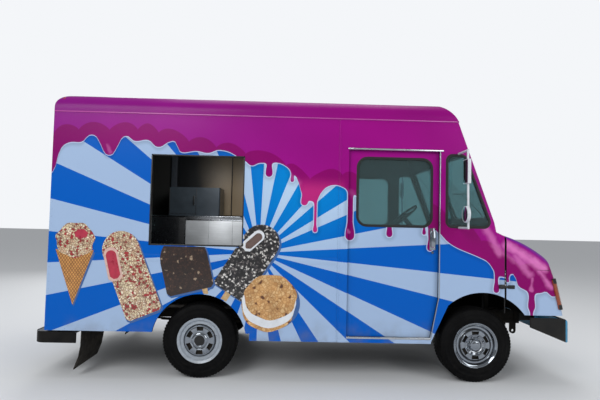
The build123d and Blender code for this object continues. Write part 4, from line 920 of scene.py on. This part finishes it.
# Lamps: bezels, reflectors and end caps
LAMP_Z = 0.920
CORNER_R, CORNER_Z = 0.080, 0.745
for side, sign in SIDES:
    centre = Vector((nose_x(LAMP_Z), sign * 0.740, LAMP_Z))
    turning(f"headlamp_ring_{side}", CHROME, centre, NOSE_OUT,
            ((0.0965, -0.006), (0.0975, 0.001), (0.106, 0.004), (0.114, 0.0025), (0.116, -0.004)), 56, "hood")
    form = bmesh.new()
    turned(form, centre, NOSE_OUT, ((0.0, 0.0105), (0.012, 0.0100), (0.022, 0.0075), (0.026, 0.0035)), 24)
    for r, low, top in ((0.050, 0.0030, 0.0062), (0.080, 0.0010, 0.0040)):
        turned(form, centre, NOSE_OUT, ((r, low), (r + 0.002, top), (r + 0.005, top), (r + 0.007, low)), 40)
    made(f"headlamp_flutes_{side}", form, CHROME, "hood")
    # Black caps at both ends of the corner lamp: arcs about the corner of the nose
    corner_y = HALF_WIDTH + 0.003 - CORNER_R
    arc = [(0.0965, 0.30 + n / 8) for n in range(9)] + [(0.0815, 1.30 - n / 8) for n in range(9)]
    form = bmesh.new()
    for heights in ((0.743, 0.790), (0.996, 1.044)):
        rows = []
        for z in heights:
            corner_x = nose_x(CORNER_Z) - CORNER_R - NOSE_LEAN * (z - CORNER_Z)
            rows.append([form.verts.new((corner_x + r * cos(t), sign * (corner_y + r * sin(t)), z)) for r, t in arc])
        band(form, *rows)
        form.faces.new(rows[0])
        form.faces.new(rows[1][::-1])
    made(f"corner_lamp_caps_{side}", form, BLACK, "hood")
    # Clearance lamp at the rear top corner
    centre, out = (-2.452, sign * 1.022, 2.706), (-0.55, sign * 0.45, 0.70)
    turning(f"clearance_lamp_{side}", RED, centre, out,
            ((0.034, -0.010), (0.034, 0.010), (0.026, 0.020), (0.0, 0.025)), 28)
    turning(f"clearance_base_{side}", CHROME, centre, out,
            ((0.0, -0.012), (0.041, -0.012), (0.041, 0.002), (0.034, 0.004)), 28)
    for name, height in (("lower", 0.760), ("upper", 0.900)):
        turning(f"rear_lamp_ring_{name}_{side}", CHROME, (REAR_X - 0.0005, sign * 0.920, height), (-1, 0, 0),
                ((0.049, 0.021), (0.051, 0.024), (0.057, 0.022), (0.060, 0.0)), 40)

# Small lamps over the windscreen and over the rear doors
for number, y in enumerate((-0.60, -0.20, 0.0, 0.20, 0.60)):
    for name, x, z, out, material in (("brow", 1.412, 2.688, (0.75, 0, 0.66), AMBER),
                                      ("tail", -2.505, 2.66, (-0.95, 0, 0.30), RED)):
        turning(f"{name}_lamp_{number}", material, (x, y, z), out,
                ((0.026, -0.006), (0.025, 0.006), (0.016, 0.014), (0.0, 0.017)), 24)

# Rear bumper: tread plate and bolts on its top
blocks("rear_step_plate", TREAD, (((-2.600, -1.050, 0.4375), (-2.400, 1.050, 0.4405), 0.001),))
form = bmesh.new()
for y in (-0.75, -0.25, 0.25, 0.75):
    turned(form, (-2.575, y, 0.4400), UP, ((0.0, 0.0035), (0.008, 0.003), (0.011, 0.0)), 16)
made("rear_bumper_bolts", form, STEEL)

# Grille: its surround and bright bars
ring = [Vector((nose_x(z) + 0.001, y, z)) for y, z in oblong((-0.520, 0.520), (0.790, 1.020), 0.02)]
swept("grille_surround", BLACK, [(ring, bead(0.008, 0.011))], NOSE_OUT, "hood", closed=True)
blocks("grille_brights", STEEL,
       [((nose_x(z) - 0.0115, -0.516, z - 0.0025), (nose_x(z) - 0.0085, 0.516, z + 0.0025), 0.001)
        for z in (0.812 + 0.046 * n for n in range(5))], "hood")

# Wipers: arm and blade on each pane
for side, sign in SIDES:
    form = bmesh.new()
    # columns: distance from the middle of the truck, height, lift off the glass
    foot, hub, elbow, tip, one, two = (on_screen(sign * y, z, lift) for y, z, lift in (
        (0.86, 1.592, 0.004), (0.86, 1.592, 0.016), (0.74, 1.70, 0.022), (0.44, 1.90, 0.018),
        (0.68, 1.885, 0.010), (0.20, 1.915, 0.010)))
    turned(form, foot, SCREEN_OUT, ((0.016, -0.006), (0.016, 0.010), (0.010, 0.018), (0.0, 0.019)), 20)
    sweep(form, [hub, elbow, tip], circle(0.0045, 8), SCREEN_OUT)
    sweep(form, [one, two], [(-0.005, -0.002), (-0.005, 0.002), (0.006, 0.005), (0.006, -0.005)], SCREEN_OUT)
    made(f"wiper_{side}", form, BLACK)

# Rear doors: handle, lock rods with their guides, and the seal between the doors
blocks("rear_latch", STEEL,
       [((-2.552, 0.030, 1.235), (-2.525, 0.060, 1.415), 0.005),
        ((-2.5285, 0.020, 1.190), (-2.5245, 0.075, 1.235), 0.002)]
       + [((-2.5335, 0.041, z0), (-2.5245, 0.049, z1), 0.002) for z0, z1 in ((0.60, 1.235), (1.415, 2.33))]
       + [((-2.537, 0.032, z - 0.018), (-2.5245, 0.058, z + 0.018), 0.002) for z in (0.66, 1.05, 1.55, 1.95, 2.28)],
       "rear_door_left")
blocks("rear_door_seal", GASKET, (((-2.5305, -0.012, 0.57), (-2.5245, 0.012, 2.35), 0.003),), "rear_door_left")

# Cab: dials, pedals and lever
DIAL_TILT = radians(22)
form = bmesh.new()
block(form, (1.522, 0.25, 1.405), (1.560, 0.65, 1.535), 0.012, Matrix.Rotation(-DIAL_TILT, 4, "Y"))
made("dial_binnacle", form, DASH)
facing = Vector((-cos(DIAL_TILT), 0, sin(DIAL_TILT)))
across = Vector((0, 1, 0))
upright = facing.cross(across).normalized()
for number, (y, r) in enumerate(((0.37, 0.045), (0.53, 0.045), (0.45, 0.026), (0.29, 0.022), (0.61, 0.022))):
    centre = Vector((1.541, y, 1.470)) + facing * 0.0195
    turning(f"dial_{number}", DIAL, centre, facing, ((0.0, 0.001), (r, 0.001), (r, -0.002)), 32)
    turning(f"dial_ring_{number}", CHROME, centre, facing,
            ((r, 0.0), (r * 1.02, 0.005), (r * 1.12, 0.004), (r * 1.14, -0.001)), 32)
    # columns: angle in degrees, from and to as shares of the radius, lift, half thickness
    marks = [(-40 + 26 * n, 0.73, 0.91, 0.0012, 0.0008) for n in range(11)] + [(-20, 0.0, 0.7, 0.002, 0.001)]
    runs = []
    for turn, near, far, lift, half in marks:
        spoke = across * cos(radians(turn)) + upright * sin(radians(turn))
        foot = centre + facing * lift
        runs.append(([foot + spoke * r * near, foot + spoke * r * far], circle(half, 5)))
    swept(f"dial_marks_{number}", NEEDLE, runs, facing)
form = bmesh.new()
for y, z in ((0.33, 0.90), (0.45, 0.90), (0.57, 0.86)):
    block(form, (1.48, y - 0.035, z - 0.012), (1.565, y + 0.035, z + 0.004), 0.004,
          Matrix.Rotation(radians(35), 4, "Y"))
    sweep(form, [(1.54, y, z), (1.62, y, z + 0.10), (1.66, y, z + 0.28)], circle(0.009, 8), across)
made("pedals", form, BLACK)
form = bmesh.new()
sweep(form, [(1.40, 0.30, 1.08), (1.33, 0.30, 1.28), (1.29, 0.30, 1.42)], circle(0.008, 10), across)
turned(form, (1.286, 0.30, 1.43), (-0.25, 0, 1),
       ((0.0, 0.034), (0.016, 0.028), (0.022, 0.012), (0.017, -0.008), (0.0, -0.012)), 24)
made("gear_lever", form, BLACK)


# Printed pictures of generic ices, in thin film on the wrap
def capsule(x, z, length, width, turn):
    """Outline of a bar: a long shape with round shoulders and a blunter foot."""
    half, reach = width / 2, length / 2
    shape = [(-half, -reach + 0.03), (-half + 0.03, -reach), (half - 0.03, -reach), (half, -reach + 0.03)]
    shape += [(half * cos(pi * n / 12), reach - half + half * sin(pi * n / 12)) for n in range(13)]
    c, s = cos(radians(turn)), sin(radians(turn))
    return [(x + u * c - v * s, z + u * s + v * c) for u, v in shape]


def disc(x, z, r, tall=1.0, wobble=0.0, steps=40):
    """Outline of a round shape, lower than it is wide, with a wavy edge."""
    points = []
    for n in range(steps):
        a = 2 * pi * n / steps
        reach = r + wobble * sin(7 * a)
        points.append((x + (reach + wobble * 0.6 * sin(11 * a + 1)) * cos(a), z + reach * tall * sin(a)))
    return points


def trimmed(outline, clear=0.468, gap=0.006):
    """An outline whose points in the rear wheel arch or the service window are moved out to its edge."""
    points = []
    front, foot = WINDOW_X[1] + gap, WINDOW_Z[0] - gap
    for (x0, z0), (x1, z1) in zip(outline, outline[1:] + outline[:1]):
        steps = max(1, round(hypot(x1 - x0, z1 - z0) / 0.015))
        for n in range(steps):
            x = x0 + (x1 - x0) * n / steps
            z = z0 + (z1 - z0) * n / steps
            if WINDOW_X[0] - gap < x < front and z > foot:
                x, z = (x, foot) if z - foot < front - x else (front, z)
            x, z = x - REAR_AXLE_X, z - AXLE_Z
            grow = max(1.0, clear / hypot(x, z))
            points.append((REAR_AXLE_X + x * grow, AXLE_Z + z * grow))
    return points


# columns: name, material, outline, order in which the films lie, shift of a shadow
PRINTS = (
    ("cone_shadow", SHADOW, [(-2.44, 1.22), (-2.07, 1.22), (-2.255, 0.70)], 0, (0.012, -0.014)),
    ("cone_wafer", WAFER,
     [(-2.44, 1.235), (-2.35, 1.205), (-2.255, 1.19), (-2.16, 1.205), (-2.07, 1.235), (-2.255, 0.70)], 1),
    ("cone_scoop", STRAW_COAT, disc(-2.255, 1.325, 0.185, 0.92, 0.008), 2),
    ("cone_lip", PINK_CREAM, disc(-2.20, 1.385, 0.065, 0.7, 0.005), 3),
    ("bar_rear_shadow", SHADOW, capsule(-1.72, 1.01, 0.87, 0.37, 22), 0, (0.013, -0.015)),
    ("bar_rear", STRAW_COAT, capsule(-1.72, 1.01, 0.86, 0.36, 22), 2),
    ("bar_rear_bite", RIND, capsule(-1.885, 1.10, 0.33, 0.14, 14), 3),
    ("bar_rear_core", PINK_CREAM, capsule(-1.883, 1.095, 0.28, 0.10, 14), 4),
    ("bar_mid_stick", STICK, capsule(-0.99, 0.88, 0.16, 0.05, 14), 1),
    ("bar_mid_shadow", SHADOW, capsule(-1.19, 1.12, 0.57, 0.47, 14), 0, (0.012, -0.012)),
    ("bar_mid", CHOCOLATE, capsule(-1.19, 1.12, 0.56, 0.46, 14), 2),
    ("bar_front_stick", STICK, capsule(-0.79, 0.80, 0.22, 0.06, -32), 1),
    ("bar_front_shadow", SHADOW, capsule(-0.56, 1.165, 0.77, 0.37, -32), 0, (0.014, -0.014)),
    ("bar_front", DARK_COAT, capsule(-0.56, 1.165, 0.76, 0.36, -32), 3),
    ("bar_front_bite", CREAM, capsule(-0.53, 1.355, 0.25, 0.115, -48), 4),
    ("bar_front_core", COCOA, capsule(-0.528, 1.35, 0.20, 0.075, -48), 5),
    ("sandwich_shadow", SHADOW, disc(-0.35, 0.77, 0.275, 0.93), 0, (0.014, -0.018)),
    ("sandwich_lower", BISCUIT, disc(-0.37, 0.705, 0.258, 0.88, 0.005), 4),
    ("sandwich_cream", CREAM, disc(-0.363, 0.745, 0.262, 0.88, 0.004), 5),
    ("sandwich_upper", BISCUIT, disc(-0.35, 0.81, 0.255, 0.86, 0.006), 6),
)
FILM = 0.0004
for side, sign in SIDES:
    for name, material, outline, layer, *shift in PRINTS:
        for dx, dz in shift:
            outline = [(x + dx, z + dz) for x, z in outline]
        form = bmesh.new()
        slab(form, trimmed(outline), on_side(sign, 0.0014 + FILM * layer), Vector((0, sign * FILM, 0)))
        made(f"print_{name}_{side}", form, material)


# Driver's seat, padded
def settle(piece):
    """Applies the modifiers of a piece to its mesh."""
    graph = bpy.context.evaluated_depsgraph_get()
    mesh = bpy.data.meshes.new_from_object(piece.evaluated_get(graph))
    piece.modifiers.clear()
    piece.data = mesh


VOXEL, PRESSURE, CLOTH_FRAMES = 0.006, 4.0, 20


def pad(name, node, inset=0.012, cap=0.009):
    """A vinyl pad in place of its plain solid, swollen by cloth under pressure and by no more than cap."""
    low, high = (Vector(corner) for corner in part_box(node))
    inset = Vector((inset, inset, inset))
    form = bmesh.new()
    block(form, low + inset, high - inset, 0.022)
    piece = made(name, form, SEAT, "truck", 60)
    remesh = piece.modifiers.new("remesh", "REMESH")
    remesh.mode = "VOXEL"
    remesh.voxel_size = VOXEL
    settle(piece)
    rest = [vert.co.copy() for vert in piece.data.vertices]
    cloth = piece.modifiers.new("cloth", "CLOTH")
    cloth.settings.use_pressure = True
    cloth.settings.uniform_pressure_force = PRESSURE
    cloth.settings.effector_weights.gravity = 0.0
    scene = bpy.context.scene
    for number in range(1, CLOTH_FRAMES + 1):
        scene.frame_set(number)
    settle(piece)
    scene.frame_set(1)
    for vert, start in zip(piece.data.vertices, rest):
        move = vert.co - start
        if move.length > cap:
            vert.co = start + move.normalized() * cap
    piece.data.shade_smooth()
    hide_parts(node)


pad("seat_cushion_pad", "seat_cushion")
pad("seat_back_pad", "seat_back")
# Piping round the top of the cushion and the front of the back
for name, middle, half_u, first, out in (
    ("seat_cushion_piping", Vector((0.830, 0.450, 1.047)), 0.212, Vector((1, 0, 0)), UP),
    ("seat_back_piping", Vector((0.678, 0.450, 1.300)), 0.197, UP, Vector((1, 0, 0))),
):
    path = [middle + first * u + across * v for u, v in oblong((-half_u, half_u), (-0.217, 0.217), 0.05)]
    swept(name, GASKET, [(path, circle(0.004, 8))], out, closed=True)

# Camera, matched to the photograph
CAMERA_PLACE = (-0.1942, -5.9028, 1.5353)
YAW, PITCH, ROLL = 0.0228066, 0.0475132, -0.0230373
ahead = Vector((sin(YAW) * cos(PITCH), cos(YAW) * cos(PITCH), sin(PITCH)))
level = Vector((cos(YAW), -sin(YAW), 0))
over = level.cross(ahead)
right = level * cos(ROLL) - over * sin(ROLL)
above = level * sin(ROLL) + over * cos(ROLL)
lens_data = bpy.data.cameras.new("camera")
lens_data.sensor_fit = "HORIZONTAL"
lens_data.sensor_width = 36
lens_data.lens = 29.378
camera = bpy.data.objects.new("camera", lens_data)
camera.matrix_world = Matrix.Translation(CAMERA_PLACE) @ Matrix((right, above, -ahead)).transposed().to_4x4()
bpy.context.scene.collection.objects.link(camera)
bpy.context.scene.camera = camera

# Stage: a pale floor, a plain bright surround and large soft lamps
mesh = bpy.data.meshes.new("floor_sheet")
form = bmesh.new()
bmesh.ops.create_grid(form, x_segments=1, y_segments=1, size=60)
form.to_mesh(mesh)
form.free()
mesh.materials.append(Finish("studio_floor").set(Base_Color="D4D6D8", Roughness=0.9))
sheet = bpy.data.objects.new("floor_sheet", mesh)
bpy.context.scene.collection.objects.link(sheet)
world = bpy.data.worlds.new("studio")
bpy.context.scene.world = world
world.use_nodes = True
studio = Nodes(world.node_tree)
back = world.node_tree.nodes["Background"]
studio.feed(back.inputs["Color"], "F4F6F9")
# The surround is dimmer for the light that falls on the truck than for the eye
path = studio.add("LightPath", {})
strength = studio.maths("MULTIPLY_ADD", path.outputs["Is Camera Ray"], 0.45, 0.55)
strength = studio.maths("MULTIPLY_ADD", path.outputs["Is Glossy Ray"], -0.20, strength)
strength = studio.maths("MULTIPLY_ADD", path.outputs["Is Transmission Ray"], 0.10, strength)
studio.feed(back.inputs["Strength"], strength)
# columns: name, place, aims at, size, watts
for name, spot, aim, size, power in (
    ("key_lamp", (-4.5, -9.0, 6.5), (0, 0, 1.2), 5.0, 520),
    ("fill_lamp", (6.5, -7.0, 4.0), (0.5, 0, 1.0), 5.0, 240),
    ("top_lamp", (0.0, 1.0, 9.0), (0, 0, 1.5), 6.0, 280),
    ("back_lamp", (-3.0, 8.0, 5.0), (0, 0, 1.2), 5.0, 280),
    ("load_space_lamp", (-0.95, -0.45, 2.30), (-1.05, 0.5, 1.2), 0.6, 11),
):
    data = bpy.data.lights.new(name, "AREA")
    data.energy = power
    data.size = size
    lamp = bpy.data.objects.new(name, data)
    lamp.location = spot
    lamp.rotation_euler = (Vector(aim) - Vector(spot)).to_track_quat("-Z", "Y").to_euler()
    bpy.context.scene.collection.objects.link(lamp)
bpy.context.scene.view_settings.view_transform = "Standard"
